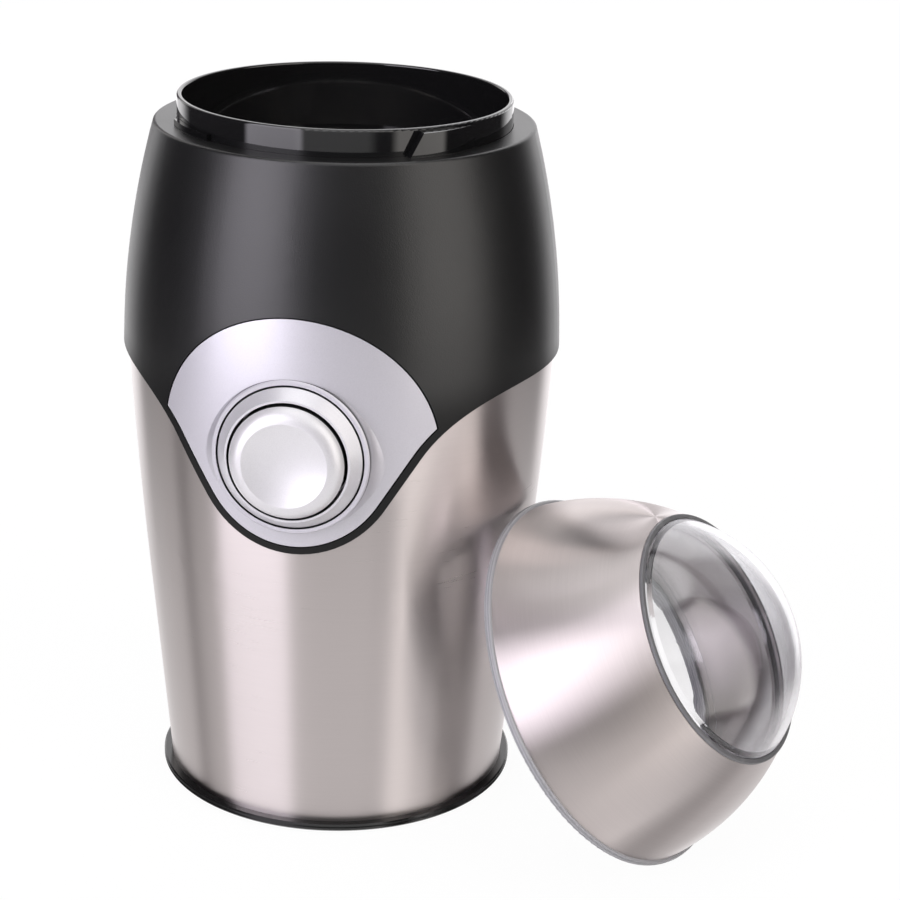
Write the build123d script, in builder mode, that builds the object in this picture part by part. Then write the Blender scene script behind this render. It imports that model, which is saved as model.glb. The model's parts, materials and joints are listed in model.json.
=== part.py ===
"""Electric blade grinder: barrel body, steel sleeve, push button, universal motor, and a lid
that leans beside the body.

Millimetres. +Z is up, the origin is on the body's axis in the plane that the foot ring stands
on, and the button faces -Y.
"""

import math
import os

from build123d import *

os.makedirs("parts", exist_ok=True)


def finish(piece, name):
    """Label a finished piece and write it as its own STEP file."""
    piece.part.label = name
    export_step(piece.part, f"parts/{name}.step")


# ---------------------------------------------------------------------------------------------
# Clearances
# ---------------------------------------------------------------------------------------------
fit = 0.1  # between pieces of one body that slide into each other on assembly
running_fit = 0.04  # radial, shaft in bush
moving_gap = 0.3  # between pieces that move past each other
panel_gap = 0.3  # shadow gap round the control panel

# ---------------------------------------------------------------------------------------------
# Heights, stacked up from the table
# ---------------------------------------------------------------------------------------------
foot_height = 1.0  # the rubber ring below the base plate
foot_groove = 0.6
plate_wall = 1.6
fan_floor_gap = 9.9
fan_height = 9.0
fan_bracket_gap = 2.5
bush_boss_height = 4.0
lower_bracket_wall = 3.0
brush_bay_height = 25.0
stator_height = 28.0
coil_bay_height = 8.2
upper_bracket_wall = 2.5
mount_cushion = 3.2
mount_post_height = 7.0
carrier_floor_wall = 2.5
bowl_wall = 0.6
bowl_depth = 36.5
seal_height = 1.8
collar_depth = 11.0
collar_height = 5.8

plate_bottom_z = foot_height
plate_top_z = plate_bottom_z + plate_wall
fan_bottom_z = plate_top_z + fan_floor_gap
fan_top_z = fan_bottom_z + fan_height
boss_bottom_z = fan_top_z + fan_bracket_gap
lower_bracket_z = boss_bottom_z + bush_boss_height
lower_bracket_top_z = lower_bracket_z + lower_bracket_wall
stator_bottom_z = lower_bracket_top_z + brush_bay_height
stator_top_z = stator_bottom_z + stator_height
upper_bracket_z = stator_top_z + coil_bay_height
upper_bracket_top_z = upper_bracket_z + upper_bracket_wall
post_bottom_z = upper_bracket_top_z + mount_cushion
carrier_bottom_z = post_bottom_z + mount_post_height
carrier_floor_z = carrier_bottom_z + carrier_floor_wall
bowl_floor_z = carrier_floor_z + bowl_wall
bowl_lip_z = bowl_floor_z + bowl_depth
collar_bottom_z = bowl_lip_z + seal_height
shoulder_z = collar_bottom_z + collar_depth
collar_top_z = shoulder_z + collar_height

# ---------------------------------------------------------------------------------------------
# Barrel and sleeve outlines
# ---------------------------------------------------------------------------------------------
belly_r = 50.0
belly_z = 103.0
shoulder_inset = 7.35  # belly to shoulder edge
housing_wall = 2.4
shoulder_wall = 2.2
shoulder_edge_r = 0.8

sleeve_wall = 0.6
tube_wall = 2.0
lip_overhang = 0.92  # the barrel's lip stands this far out over the sleeve
sleeve_bottom_z = 2.2
knee_z = 52.0
knee_inset = 5.2  # belly to the point where the sleeve's straight flank starts to curve
foot_inset = 9.9  # belly to the sleeve's lower edge

button_z = 94.6
border_r = 23.2  # black border round the button, concentric with it
border_width = 1.9
wave_slope = 58.0  # degrees, steepest part of the wave line
wave_level_z = 106.8
wave_shoulder_r = 27.5
sleeve_tuck = 1.5  # how far the sleeve's edge runs on under the lip
sleeve_drop = 2.1  # how far the sleeve stands down past the tube that carries it

shoulder_r = belly_r - shoulder_inset
knee_r = belly_r - knee_inset
foot_r = belly_r - foot_inset
sleeve_top_z = wave_level_z + sleeve_tuck
sleeve_top_r = belly_r - lip_overhang
lobe_bottom_z = button_z - border_r
tube_bottom_z = sleeve_bottom_z + sleeve_drop
reach = 2 * belly_r

barrel_arc_r = ((shoulder_z - belly_z) ** 2 + shoulder_inset**2) / (2 * shoulder_inset)


def barrel_r(z):
    """Outer radius of the barrel at height z."""
    return belly_r - barrel_arc_r + math.sqrt(barrel_arc_r**2 - (z - belly_z) ** 2)


flank = Vector(knee_r - foot_r, knee_z - sleeve_bottom_z).normalized()
inward = Vector(-flank.Y, flank.X)
sleeve_chord = Vector(sleeve_top_r - knee_r, sleeve_top_z - knee_z)
sleeve_arc_r = sleeve_chord.length**2 / (2 * sleeve_chord.dot(inward))
sleeve_arc_centre = Vector(knee_r, knee_z) + inward * sleeve_arc_r


def sleeve_r(z):
    """Outer radius of the steel sleeve at height z: a straight flank, then a tangent arc."""
    if z <= knee_z:
        return foot_r + (z - sleeve_bottom_z) * flank.X / flank.Y
    return sleeve_arc_centre.X + math.sqrt(sleeve_arc_r**2 - (z - sleeve_arc_centre.Y) ** 2)


def barrel_curve(inset, low_z, high_z):
    """Barrel outline moved in by inset, from low_z up to high_z."""
    middle_z = (low_z + high_z) / 2
    return ThreePointArc(*[(barrel_r(z) - inset, z) for z in (low_z, middle_z, high_z)])


def sleeve_curve(inset, low_z, high_z):
    """Sleeve outline moved in by inset, from low_z up to high_z."""
    middle_z = (knee_z + high_z) / 2
    Line((sleeve_r(low_z) - inset, low_z), (knee_r - inset, knee_z))
    return ThreePointArc(*[(sleeve_r(z) - inset, z) for z in (knee_z, middle_z, high_z)])


def solid_barrel(inset, low_z, high_z):
    """Solid of revolution inside the barrel outline."""
    with BuildPart() as solid:
        with BuildSketch(Plane.XZ):
            with BuildLine():
                barrel_curve(inset, low_z, high_z)
                Polyline(
                    (barrel_r(high_z) - inset, high_z),
                    (0, high_z),
                    (0, low_z),
                    (barrel_r(low_z) - inset, low_z),
                )
            make_face()
        revolve(axis=Axis.Z)
    return solid.part


def solid_sleeve(inset, low_z, high_z):
    """Solid of revolution inside the sleeve outline."""
    with BuildPart() as solid:
        with BuildSketch(Plane.XZ):
            with BuildLine():
                sleeve_curve(inset, low_z, high_z)
                Polyline(
                    (sleeve_r(high_z) - inset, high_z),
                    (0, high_z),
                    (0, low_z),
                    (sleeve_r(low_z) - inset, low_z),
                )
            make_face()
        revolve(axis=Axis.Z)
    return solid.part


def below_wave(inset):
    """Everything below the wave line, which runs level round the back and sides and dips
    round the button at the front. inset moves the line up and in towards the button."""
    level_z = wave_level_z + inset
    lobe_r = border_r - inset
    tip_z = button_z - lobe_r / math.cos(math.radians(wave_slope))
    knee_x = (level_z - tip_z) / math.tan(math.radians(wave_slope))
    crest_r = wave_shoulder_r + inset
    with BuildPart() as region:
        with BuildSketch(Plane.XZ):
            with BuildLine():
                FilletPolyline(
                    (-reach, level_z),
                    (-knee_x, level_z),
                    (0, tip_z),
                    (knee_x, level_z),
                    (reach, level_z),
                    radius=[crest_r, lobe_r, crest_r],
                )
                Polyline((reach, level_z), (reach, -reach), (-reach, -reach), (-reach, level_z))
            make_face()
        extrude(amount=reach)
        with BuildSketch(Plane.XZ):
            with BuildLine():
                Polyline(
                    (-reach, level_z),
                    (-reach, -reach),
                    (reach, -reach),
                    (reach, level_z),
                    (-reach, level_z),
                )
            make_face()
        extrude(amount=-reach)
    return region.part


def polar_point(radius, angle):
    """Point at a radius and an angle in degrees."""
    return (radius * math.cos(math.radians(angle)), radius * math.sin(math.radians(angle)))


def sector(inner_r, outer_r, start, end):
    """Annular sector sketch face between two angles in degrees, about the sketch's origin."""
    with BuildSketch(mode=Mode.PRIVATE) as face:
        with BuildLine():
            outer = CenterArc((0, 0), outer_r, start, end - start)
            inner = CenterArc((0, 0), inner_r, start, end - start)
            Line(outer @ 0, inner @ 0)
            Line(outer @ 1, inner @ 1)
        make_face()
    return face.sketch


# ---------------------------------------------------------------------------------------------
# Button group, all on one horizontal axis: sketches use (radius, distance out from the Z axis)
# ---------------------------------------------------------------------------------------------
button_plane = Plane(origin=(0, 0, button_z), x_dir=(1, 0, 0), z_dir=(0, 0, -1))
button_axis = Axis((0, 0, button_z), (0, -1, 0))
button_face_plane = Plane(origin=(0, 0, button_z), x_dir=(1, 0, 0), z_dir=(0, -1, 0))

button_r = 12.6
button_gap = 0.65
bezel_wall = 1.3
bezel_rim_width = 2.6
bezel_gap = 0.45
panel_disc_r = 30.4
panel_wall = 1.8
button_travel = 3.0
button_proud = 5.8  # button rim beyond the barrel's surface
bezel_proud = 3.0
bezel_edge_proud = 0.4
panel_boss_width = 1.1
panel_boss_flare = 3.2
bezel_tube_length = 5.8
retainer_wall = 1.4
retainer_lip = 1.0
stem_r = 2.5
guide_wall = 2.0
guide_depth = 15.3  # barrel surface to the guide plate's back
switch_depth = 10.2
switch_length = 19.8
switch_height = 6.4
guide_post_r = 3.0
guide_post_x = 18.5
guide_height = 15.0
screw_r = 1.5
screw_head_r = 2.8
screw_head_height = 1.8

surface_d = barrel_r(button_z)
bezel_bore_r = button_r + button_gap
bezel_tube_r = bezel_bore_r + bezel_wall
bezel_r = bezel_bore_r + bezel_rim_width
panel_hole_r = bezel_r + bezel_gap
panel_boss_r = panel_hole_r + panel_boss_width
button_hole_r = bezel_tube_r + fit
seat_d = math.sqrt(surface_d**2 - panel_hole_r**2) - panel_wall - fit  # flat seat for the bezel
bezel_front_d = surface_d + bezel_proud
bezel_back_d = seat_d - (bezel_tube_length - bezel_proud)
button_front_d = surface_d + button_proud
retainer_d = bezel_back_d - moving_gap
guide_back_d = surface_d - guide_depth
guide_front_d = guide_back_d + guide_wall
switch_front_d = guide_back_d
switch_back_d = switch_front_d - switch_depth

# ---------------------------------------------------------------------------------------------
# Main housing: barrel, shoulder and the tube that carries the steel sleeve, in one moulding
# ---------------------------------------------------------------------------------------------
collar_edge_width = 5.15  # shoulder edge to collar
collar_wall = 1.2
collar_r = shoulder_r - collar_edge_width
collar_hole_r = collar_r + fit
carrier_screw_inset = 9.4  # belly to the screws
carrier_screw_r = belly_r - carrier_screw_inset
carrier_boss_r = 2.6
rib_wall = 1.6
carrier_boss_z = carrier_floor_z + 4.7
base_screw_inset = 10.6  # sleeve's foot to the screws
base_screw_circle_r = foot_r - base_screw_inset
base_boss_r = 3.2
base_boss_height = 20.0
screw_pilot_r = screw_r + 0.05
pilot_depth = 9.0
interlock_angle = 90.0
pin_r = 1.2
pin_circle_r = collar_r + 2.3
stop_shelf_z = collar_bottom_z - 7.0
stop_shelf_wall = 2.2
shelf_width = 8.0
cord_z = 15.0
cord_r = 3.2
grommet_wall = 1.9
grommet_r = cord_r + grommet_wall
tube_inset = sleeve_wall + fit
cavity_inset = tube_inset + tube_wall
cavity_step_z = sleeve_top_z + 2.0

lug_angles = (40.0, 130.0, 220.0)
lug_half_angle = 13.0
lug_height = 1.4
lug_width = 1.1
ramp_start_angle = -57.5
ramp_end_angle = -31.0
ramp_width = 2.3
ramp_height = collar_height - 0.6
ramp_nose_slope = math.radians(30.0)  # from upright

lug_r = collar_hole_r + lug_width
cavity_top_z = shoulder_z - shoulder_wall
corner_count = 4
corner_angle = 45.0


def housing_cavity():
    """The hollow inside the housing: tube, barrel and the step between them."""
    with BuildPart() as cavity:
        add(solid_barrel(housing_wall, cavity_step_z, cavity_top_z))
        add(solid_sleeve(cavity_inset, tube_bottom_z, cavity_step_z))
        with BuildSketch(Plane.XY.offset(tube_bottom_z)):
            Circle(sleeve_r(tube_bottom_z) - cavity_inset)
        extrude(amount=-tube_bottom_z)
    return cavity.part


def sleeve_space():
    """Room for the steel sleeve, from the tube's outside to beyond its own outside."""
    with BuildPart() as space:
        add(solid_sleeve(-fit, sleeve_bottom_z, sleeve_top_z + fit))
        add(solid_sleeve(tube_inset, sleeve_bottom_z, sleeve_top_z + fit), mode=Mode.SUBTRACT)
        add(below_wave(sleeve_tuck + fit), mode=Mode.INTERSECT)
    return space.part


def panel_outline(grow):
    """Prism of the control panel's front outline: a disc cut off by the wave line."""
    with BuildPart() as prism:
        with BuildSketch(button_face_plane):
            Circle(panel_disc_r + grow)
        extrude(amount=reach)
        add(below_wave(border_width - grow), mode=Mode.SUBTRACT)
    return prism.part


def panel_pocket():
    """Recess in the barrel's surface that the control panel lies in."""
    with BuildPart() as pocket:
        add(panel_outline(panel_gap))
        add(solid_barrel(panel_wall + fit, lobe_bottom_z - border_r, shoulder_z), mode=Mode.SUBTRACT)
    return pocket.part


def housing_bosses():
    """Screw bosses, ribs and shelves that stand in the housing's cavity."""
    with BuildPart() as bosses:
        with PolarLocations(carrier_screw_r, corner_count, start_angle=corner_angle):
            with Locations((0, 0, carrier_boss_z)):
                Cylinder(
                    carrier_boss_r,
                    cavity_top_z - carrier_boss_z,
                    align=(Align.CENTER, Align.CENTER, Align.MIN),
                )
                Box(
                    belly_r,
                    rib_wall,
                    cavity_top_z - carrier_boss_z,
                    align=(Align.MIN, Align.CENTER, Align.MIN),
                )
        with PolarLocations(base_screw_circle_r, corner_count, start_angle=corner_angle):
            with Locations((0, 0, tube_bottom_z)):
                Cylinder(base_boss_r, base_boss_height, align=(Align.CENTER, Align.CENTER, Align.MIN))
                Box(belly_r, rib_wall, base_boss_height, align=(Align.MIN, Align.CENTER, Align.MIN))
        with BuildSketch(Plane.XZ.offset(guide_front_d)):
            with Locations((-guide_post_x, button_z), (guide_post_x, button_z)):
                Circle(guide_post_r)
        extrude(amount=belly_r - guide_front_d)
        with BuildSketch(Plane.XY.offset(stop_shelf_z)):
            with PolarLocations(pin_circle_r - pin_r - 1.6, 1, start_angle=interlock_angle):
                Rectangle(belly_r, shelf_width, align=(Align.MIN, Align.CENTER))
        extrude(amount=stop_shelf_wall)
        add(housing_cavity(), mode=Mode.INTERSECT)
    return bosses.part


def lock_ramp():
    """Rib beside the collar that thins out along it and starts with a sloping nose."""
    start = math.radians(ramp_start_angle)
    outward = Vector(math.cos(start), math.sin(start), 0)
    along = Vector(-math.sin(start), math.cos(start), 0)
    nose_normal = along * math.cos(ramp_nose_slope) - Vector(0, 0, math.sin(ramp_nose_slope))
    nose_foot = outward * collar_hole_r + Vector(0, 0, shoulder_z)
    with BuildPart() as ramp:
        with BuildSketch(Plane.XY.offset(shoulder_z)):
            with BuildLine():
                face_arc = ThreePointArc(
                    polar_point(collar_hole_r + ramp_width, ramp_start_angle),
                    polar_point(collar_hole_r + 0.8 * ramp_width, (ramp_start_angle + ramp_end_angle) / 2),
                    polar_point(collar_hole_r + 0.15 * ramp_width, ramp_end_angle),
                )
                back_arc = CenterArc(
                    (0, 0), collar_hole_r, ramp_start_angle, ramp_end_angle - ramp_start_angle
                )
                Line(face_arc @ 0, back_arc @ 0)
                Line(face_arc @ 1, back_arc @ 1)
            make_face()
        extrude(amount=ramp_height)
        split(bisect_by=Plane(origin=nose_foot, x_dir=outward, z_dir=nose_normal), keep=Keep.TOP)
    return ramp.part


with BuildPart() as main_housing:
    add(solid_barrel(0, lobe_bottom_z - border_width, shoulder_z))
    fillet(main_housing.edges().group_by(Axis.Z)[-1], shoulder_edge_r)
    add(below_wave(0), mode=Mode.SUBTRACT)
    add(solid_sleeve(tube_inset, tube_bottom_z, cavity_step_z))
    add(sleeve_space(), mode=Mode.SUBTRACT)
    add(housing_cavity(), mode=Mode.SUBTRACT)
    add(housing_bosses())
    add(panel_pocket(), mode=Mode.SUBTRACT)
    with BuildSketch(button_face_plane):
        Circle(button_hole_r)
    extrude(amount=reach, mode=Mode.SUBTRACT)
    with BuildSketch(button_face_plane.offset(seat_d)):
        Circle(panel_hole_r)
    extrude(amount=reach, mode=Mode.SUBTRACT)
    with BuildSketch(Plane.XY.offset(cavity_top_z)):
        Circle(collar_hole_r)
    extrude(amount=shoulder_wall, mode=Mode.SUBTRACT)
    with BuildSketch(Plane.XY.offset(stop_shelf_z)):
        with PolarLocations(pin_circle_r, 1, start_angle=interlock_angle):
            Circle(pin_r + fit)
    extrude(amount=shoulder_z - stop_shelf_z, mode=Mode.SUBTRACT)
    with BuildSketch(Plane.XY.offset(shoulder_z)):
        for lug_angle in lug_angles:
            add(sector(collar_hole_r, lug_r, lug_angle - lug_half_angle, lug_angle + lug_half_angle))
    extrude(amount=lug_height)
    add(lock_ramp())
    with BuildSketch(Plane.XY.offset(carrier_boss_z)):
        with PolarLocations(carrier_screw_r, corner_count, start_angle=corner_angle):
            Circle(screw_pilot_r)
    extrude(amount=pilot_depth, mode=Mode.SUBTRACT)
    with BuildSketch(Plane.XY.offset(tube_bottom_z)):
        with PolarLocations(base_screw_circle_r, corner_count, start_angle=corner_angle):
            Circle(screw_pilot_r)
    extrude(amount=pilot_depth, mode=Mode.SUBTRACT)
    with BuildSketch(Plane.XZ.offset(guide_front_d)):
        with Locations((-guide_post_x, button_z), (guide_post_x, button_z)):
            Circle(screw_pilot_r)
    extrude(amount=pilot_depth / 2, mode=Mode.SUBTRACT)
    with BuildSketch(Plane.XZ):
        with Locations((0, cord_z)):
            Circle(grommet_r + fit)
    extrude(amount=-reach, mode=Mode.SUBTRACT)
finish(main_housing, "main_housing")

# ---------------------------------------------------------------------------------------------
# Steel sleeve
# ---------------------------------------------------------------------------------------------
with BuildPart() as steel_sleeve:
    add(solid_sleeve(0, sleeve_bottom_z, sleeve_top_z))
    add(solid_sleeve(sleeve_wall, sleeve_bottom_z, sleeve_top_z), mode=Mode.SUBTRACT)
    add(below_wave(sleeve_tuck), mode=Mode.INTERSECT)
    with BuildSketch(Plane.XZ):
        with Locations((0, cord_z)):
            Circle(grommet_r + fit)
    extrude(amount=-reach, mode=Mode.SUBTRACT)
finish(steel_sleeve, "steel_sleeve")

# ---------------------------------------------------------------------------------------------
# Control panel: a skin of the barrel's own curve with a flared ring boss round the button
# ---------------------------------------------------------------------------------------------
boss_front_d = surface_d + bezel_edge_proud
boss_foot_r = panel_boss_r + panel_boss_flare
boss_foot_d = math.sqrt(surface_d**2 - boss_foot_r**2) - fit
boss_waist_r = panel_boss_r + 0.25 * panel_boss_flare
boss_waist_d = boss_foot_d + 0.4 * (boss_front_d - boss_foot_d)
boss_edge_r = 0.3

with BuildPart() as control_panel:
    add(solid_barrel(0, lobe_bottom_z - border_width, shoulder_z))
    add(panel_outline(0), mode=Mode.INTERSECT)
    with BuildSketch(button_plane):
        with BuildLine():
            ThreePointArc(
                (panel_boss_r, boss_front_d - boss_edge_r),
                (boss_waist_r, boss_waist_d),
                (boss_foot_r, boss_foot_d),
            )
            Polyline(
                (boss_foot_r, boss_foot_d),
                (boss_foot_r, guide_front_d),
                (panel_hole_r, guide_front_d),
                (panel_hole_r, boss_front_d),
                (panel_boss_r - boss_edge_r, boss_front_d),
                (panel_boss_r, boss_front_d - boss_edge_r),
            )
        make_face()
    revolve(axis=button_axis)
    add(solid_barrel(panel_wall, lobe_bottom_z - border_r, shoulder_z), mode=Mode.SUBTRACT)
    with BuildSketch(button_face_plane):
        Circle(panel_hole_r)
    extrude(amount=reach, mode=Mode.SUBTRACT)
finish(control_panel, "control_panel")

# ---------------------------------------------------------------------------------------------
# Button bezel: conical ring with a short guide tube behind it
# ---------------------------------------------------------------------------------------------
bezel_lip = 0.5

with BuildPart() as button_bezel:
    with BuildSketch(button_plane):
        with BuildLine():
            Polyline(
                (bezel_bore_r, bezel_back_d),
                (bezel_tube_r, bezel_back_d),
                (bezel_tube_r, seat_d),
                (bezel_r, seat_d),
                (bezel_r, boss_front_d),
                (bezel_bore_r + bezel_lip, bezel_front_d),
                (bezel_bore_r, bezel_front_d),
                (bezel_bore_r, bezel_back_d),
            )
        make_face()
    revolve(axis=button_axis)
finish(button_bezel, "button_bezel")

# ---------------------------------------------------------------------------------------------
# Push button: dished cap with a skirt, a retaining lip and a stem
# ---------------------------------------------------------------------------------------------
button_rim_r = 9.4
button_bevel = 2.3
button_dish = 1.3
cap_wall = 1.6
retainer_back_d = retainer_d - retainer_wall
retainer_r = bezel_bore_r + retainer_lip
cap_inner_d = button_front_d - button_dish - cap_wall
stem_end_d = switch_front_d + button_travel + moving_gap
skirt_r = button_r - cap_wall
bevel_mid_r = (button_r + button_rim_r) / 2 + 0.35
bevel_mid_d = button_front_d - button_bevel / 2 + 0.45

with BuildPart() as push_button:
    with BuildSketch(button_plane):
        with BuildLine():
            ThreePointArc(
                (0, button_front_d - button_dish),
                (button_rim_r / 2, button_front_d - button_dish * 0.78),
                (button_rim_r, button_front_d),
            )
            ThreePointArc(
                (button_rim_r, button_front_d),
                (bevel_mid_r, bevel_mid_d),
                (button_r, button_front_d - button_bevel),
            )
            Polyline(
                (button_r, button_front_d - button_bevel),
                (button_r, retainer_d),
                (retainer_r, retainer_d),
                (retainer_r, retainer_back_d),
                (skirt_r, retainer_back_d),
                (skirt_r, cap_inner_d),
                (stem_r, cap_inner_d),
                (stem_r, stem_end_d),
                (0, stem_end_d),
                (0, button_front_d - button_dish),
            )
        make_face()
    revolve(axis=button_axis)
finish(push_button, "push_button")

# ---------------------------------------------------------------------------------------------
# Button guide, switch and spring behind the button
# ---------------------------------------------------------------------------------------------
guide_end_x = guide_post_x + guide_post_r + 0.5
guide_bore_r = stem_r + moving_gap
spring_boss_r = guide_bore_r + 1.4
spring_boss_d = guide_front_d + 4.0
cheek_wall = 1.5
cheek_depth = 6.0
spring_wire_r = 0.35
spring_pitch = 2.2

with BuildPart() as button_guide:
    with BuildSketch(Plane.XZ.offset(guide_back_d)):
        with Locations((0, button_z)):
            RectangleRounded(2 * guide_end_x, guide_height, guide_post_r)
            Circle(guide_bore_r, mode=Mode.SUBTRACT)
            with GridLocations(2 * guide_post_x, 0, 2, 1):
                Circle(screw_pilot_r, mode=Mode.SUBTRACT)
    extrude(amount=guide_wall)
    with BuildSketch(Plane.XZ.offset(guide_front_d)):
        with Locations((0, button_z)):
            Circle(spring_boss_r)
            Circle(guide_bore_r, mode=Mode.SUBTRACT)
    extrude(amount=spring_boss_d - guide_front_d)
    with BuildSketch(Plane.XZ.offset(guide_back_d)):
        with Locations((0, button_z)):
            with GridLocations(switch_length + 2 * fit + cheek_wall, 0, 2, 1):
                Rectangle(cheek_wall, switch_height + 2 * cheek_wall)
    extrude(amount=-cheek_depth)
finish(button_guide, "button_guide")

plunger_r = 1.5
plunger_depth = switch_front_d - 3.0
terminal_length = 3.4
terminal_width = 3.2
terminal_wall = 0.8
terminal_pitch = 13.0

with BuildPart() as switch_body:
    with BuildSketch(Plane.XZ.offset(switch_back_d)):
        with Locations((0, button_z)):
            Rectangle(switch_length, switch_height)
    extrude(amount=switch_depth)
    chamfer(switch_body.edges().filter_by(Axis.Y), 0.6)
    with BuildSketch(Plane.XZ.offset(switch_front_d)):
        with Locations((0, button_z)):
            Circle(plunger_r + fit)
    extrude(
        amount=-(switch_front_d - plunger_depth + button_travel + moving_gap), mode=Mode.SUBTRACT
    )
    with BuildSketch(Plane.XZ.offset(switch_back_d)):
        with Locations((0, button_z)):
            with GridLocations(terminal_pitch, 0, 2, 1):
                Rectangle(terminal_wall, terminal_width)
    extrude(amount=-terminal_length)
finish(switch_body, "switch_body")

with BuildPart() as switch_plunger:
    with BuildSketch(Plane.XZ.offset(plunger_depth)):
        with Locations((0, button_z)):
            Circle(plunger_r)
    extrude(amount=stem_end_d - fit - plunger_depth)
    fillet(switch_plunger.edges().group_by(Axis.Y)[0], 0.5)
finish(switch_plunger, "switch_plunger")


def coil_spring(start, direction, coil_r, wire_r, pitch, height):
    """Helical spring that runs from start along direction."""
    with BuildPart() as spring:
        with BuildLine():
            wire_line = Helix(pitch, height, coil_r, center=start, direction=direction)
        with BuildSketch(Plane(origin=wire_line @ 0, z_dir=wire_line % 0)):
            RegularPolygon(wire_r, 6)
        sweep(path=wire_line)
    return spring.part


with BuildPart() as button_spring:
    add(
        coil_spring(
            (0, -spring_boss_d - spring_wire_r - fit, button_z),
            (0, -1, 0),
            (guide_bore_r + spring_boss_r) / 2,
            spring_wire_r,
            spring_pitch,
            cap_inner_d - spring_boss_d - 2 * (spring_wire_r + fit),
        )
    )
finish(button_spring, "button_spring")

screw_tip = 4.0

with BuildPart() as guide_screws:
    with BuildSketch(Plane.XZ.offset(guide_back_d)):
        with Locations((-guide_post_x, button_z), (guide_post_x, button_z)):
            Circle(screw_head_r)
    extrude(amount=-screw_head_height)
    chamfer(guide_screws.edges().group_by(Axis.Y)[-1], 0.5)
    with BuildSketch(Plane.XZ.offset(guide_back_d)):
        with Locations((-guide_post_x, button_z), (guide_post_x, button_z)):
            Circle(screw_r)
    extrude(amount=guide_wall + screw_tip)
finish(guide_screws, "guide_screws")

# ---------------------------------------------------------------------------------------------
# Chamber collar, seals and bowl
# ---------------------------------------------------------------------------------------------
bowl_inset = 3.5  # collar to the bowl's bore
bowl_corner_r = 12.0
bowl_lip_width = 2.3
bowl_hole_r = 7.0
collar_flange_wall = 1.9
collar_ledge_wall = 1.5
collar_rim_r = 0.45
shaft_r = 4.0

bowl_r = collar_r - bowl_inset
collar_bore_r = collar_r - collar_wall
collar_flange_r = barrel_r(cavity_top_z) - housing_wall - 0.8
bowl_lip_r = bowl_r + bowl_wall + bowl_lip_width

with BuildPart() as chamber_collar:
    with BuildSketch(Plane.XZ):
        with BuildLine():
            Polyline(
                (bowl_r + fit, collar_bottom_z),
                (collar_r, collar_bottom_z),
                (collar_r, cavity_top_z - collar_flange_wall),
                (collar_flange_r, cavity_top_z - collar_flange_wall),
                (collar_flange_r, cavity_top_z),
                (collar_r, cavity_top_z),
                (collar_r, collar_top_z),
                (collar_bore_r, collar_top_z),
                (collar_bore_r, collar_bottom_z + collar_ledge_wall),
                (bowl_r + fit, collar_bottom_z + collar_ledge_wall),
                (bowl_r + fit, collar_bottom_z),
            )
        make_face()
    revolve(axis=Axis.Z)
    fillet(chamber_collar.edges().group_by(Axis.Z)[-1], collar_rim_r)
    with BuildSketch(Plane.XY.offset(cavity_top_z - collar_flange_wall)):
        with PolarLocations(carrier_screw_r, corner_count, start_angle=corner_angle):
            Circle(carrier_boss_r + moving_gap)
        with PolarLocations(pin_circle_r, 1, start_angle=interlock_angle):
            Circle(pin_r + fit)
    extrude(amount=collar_flange_wall, mode=Mode.SUBTRACT)
finish(chamber_collar, "chamber_collar")

with BuildPart() as grinding_bowl:
    with BuildSketch(Plane.XZ):
        with BuildLine():
            FilletPolyline(
                (bowl_hole_r, bowl_floor_z),
                (bowl_r, bowl_floor_z),
                (bowl_r, bowl_lip_z),
                (bowl_lip_r, bowl_lip_z),
                radius=[bowl_corner_r, 0.3],
            )
            offset(amount=bowl_wall, side=Side.RIGHT)
        make_face()
    revolve(axis=Axis.Z)
finish(grinding_bowl, "grinding_bowl")

with BuildPart() as bowl_seal:
    with BuildSketch(Plane.XY.offset(bowl_lip_z)):
        Circle(bowl_lip_r)
        Circle(bowl_r + bowl_wall, mode=Mode.SUBTRACT)
    extrude(amount=seal_height)
    fillet(bowl_seal.edges(), 0.4)
finish(bowl_seal, "bowl_seal")

# ---------------------------------------------------------------------------------------------
# Bowl carrier: a cup under the bowl that hangs from the housing and carries the motor
# ---------------------------------------------------------------------------------------------
carrier_gap = 0.4
carrier_wall = 1.7
ear_wall = 2.6
ear_r = 3.8
mount_circle_inset = 2.7  # carrier's outside to the motor mounts
mount_post_r = 3.5
seal_r = 9.0
interlock_shelf_drop = 9.5
shelf_wall = 2.0
interlock_travel = 2.2
interlock_body_length = 12.8
interlock_body_depth = 5.8
interlock_body_height = 6.5
interlock_cheek_grip = 4.5

carrier_bore_r = bowl_r + bowl_wall + carrier_gap
carrier_r = carrier_bore_r + carrier_wall
mount_circle_r = carrier_r - mount_circle_inset
interlock_shelf_z = stop_shelf_z - interlock_shelf_drop
pin_y = pin_circle_r * math.sin(math.radians(interlock_angle))
pin_x = pin_circle_r * math.cos(math.radians(interlock_angle))
pin_bottom_z = interlock_shelf_z - shelf_wall - 0.5
interlock_body_top_z = pin_bottom_z - interlock_travel - moving_gap
interlock_shelf_width = interlock_body_length + 2 * (fit + cheek_wall)

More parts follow.
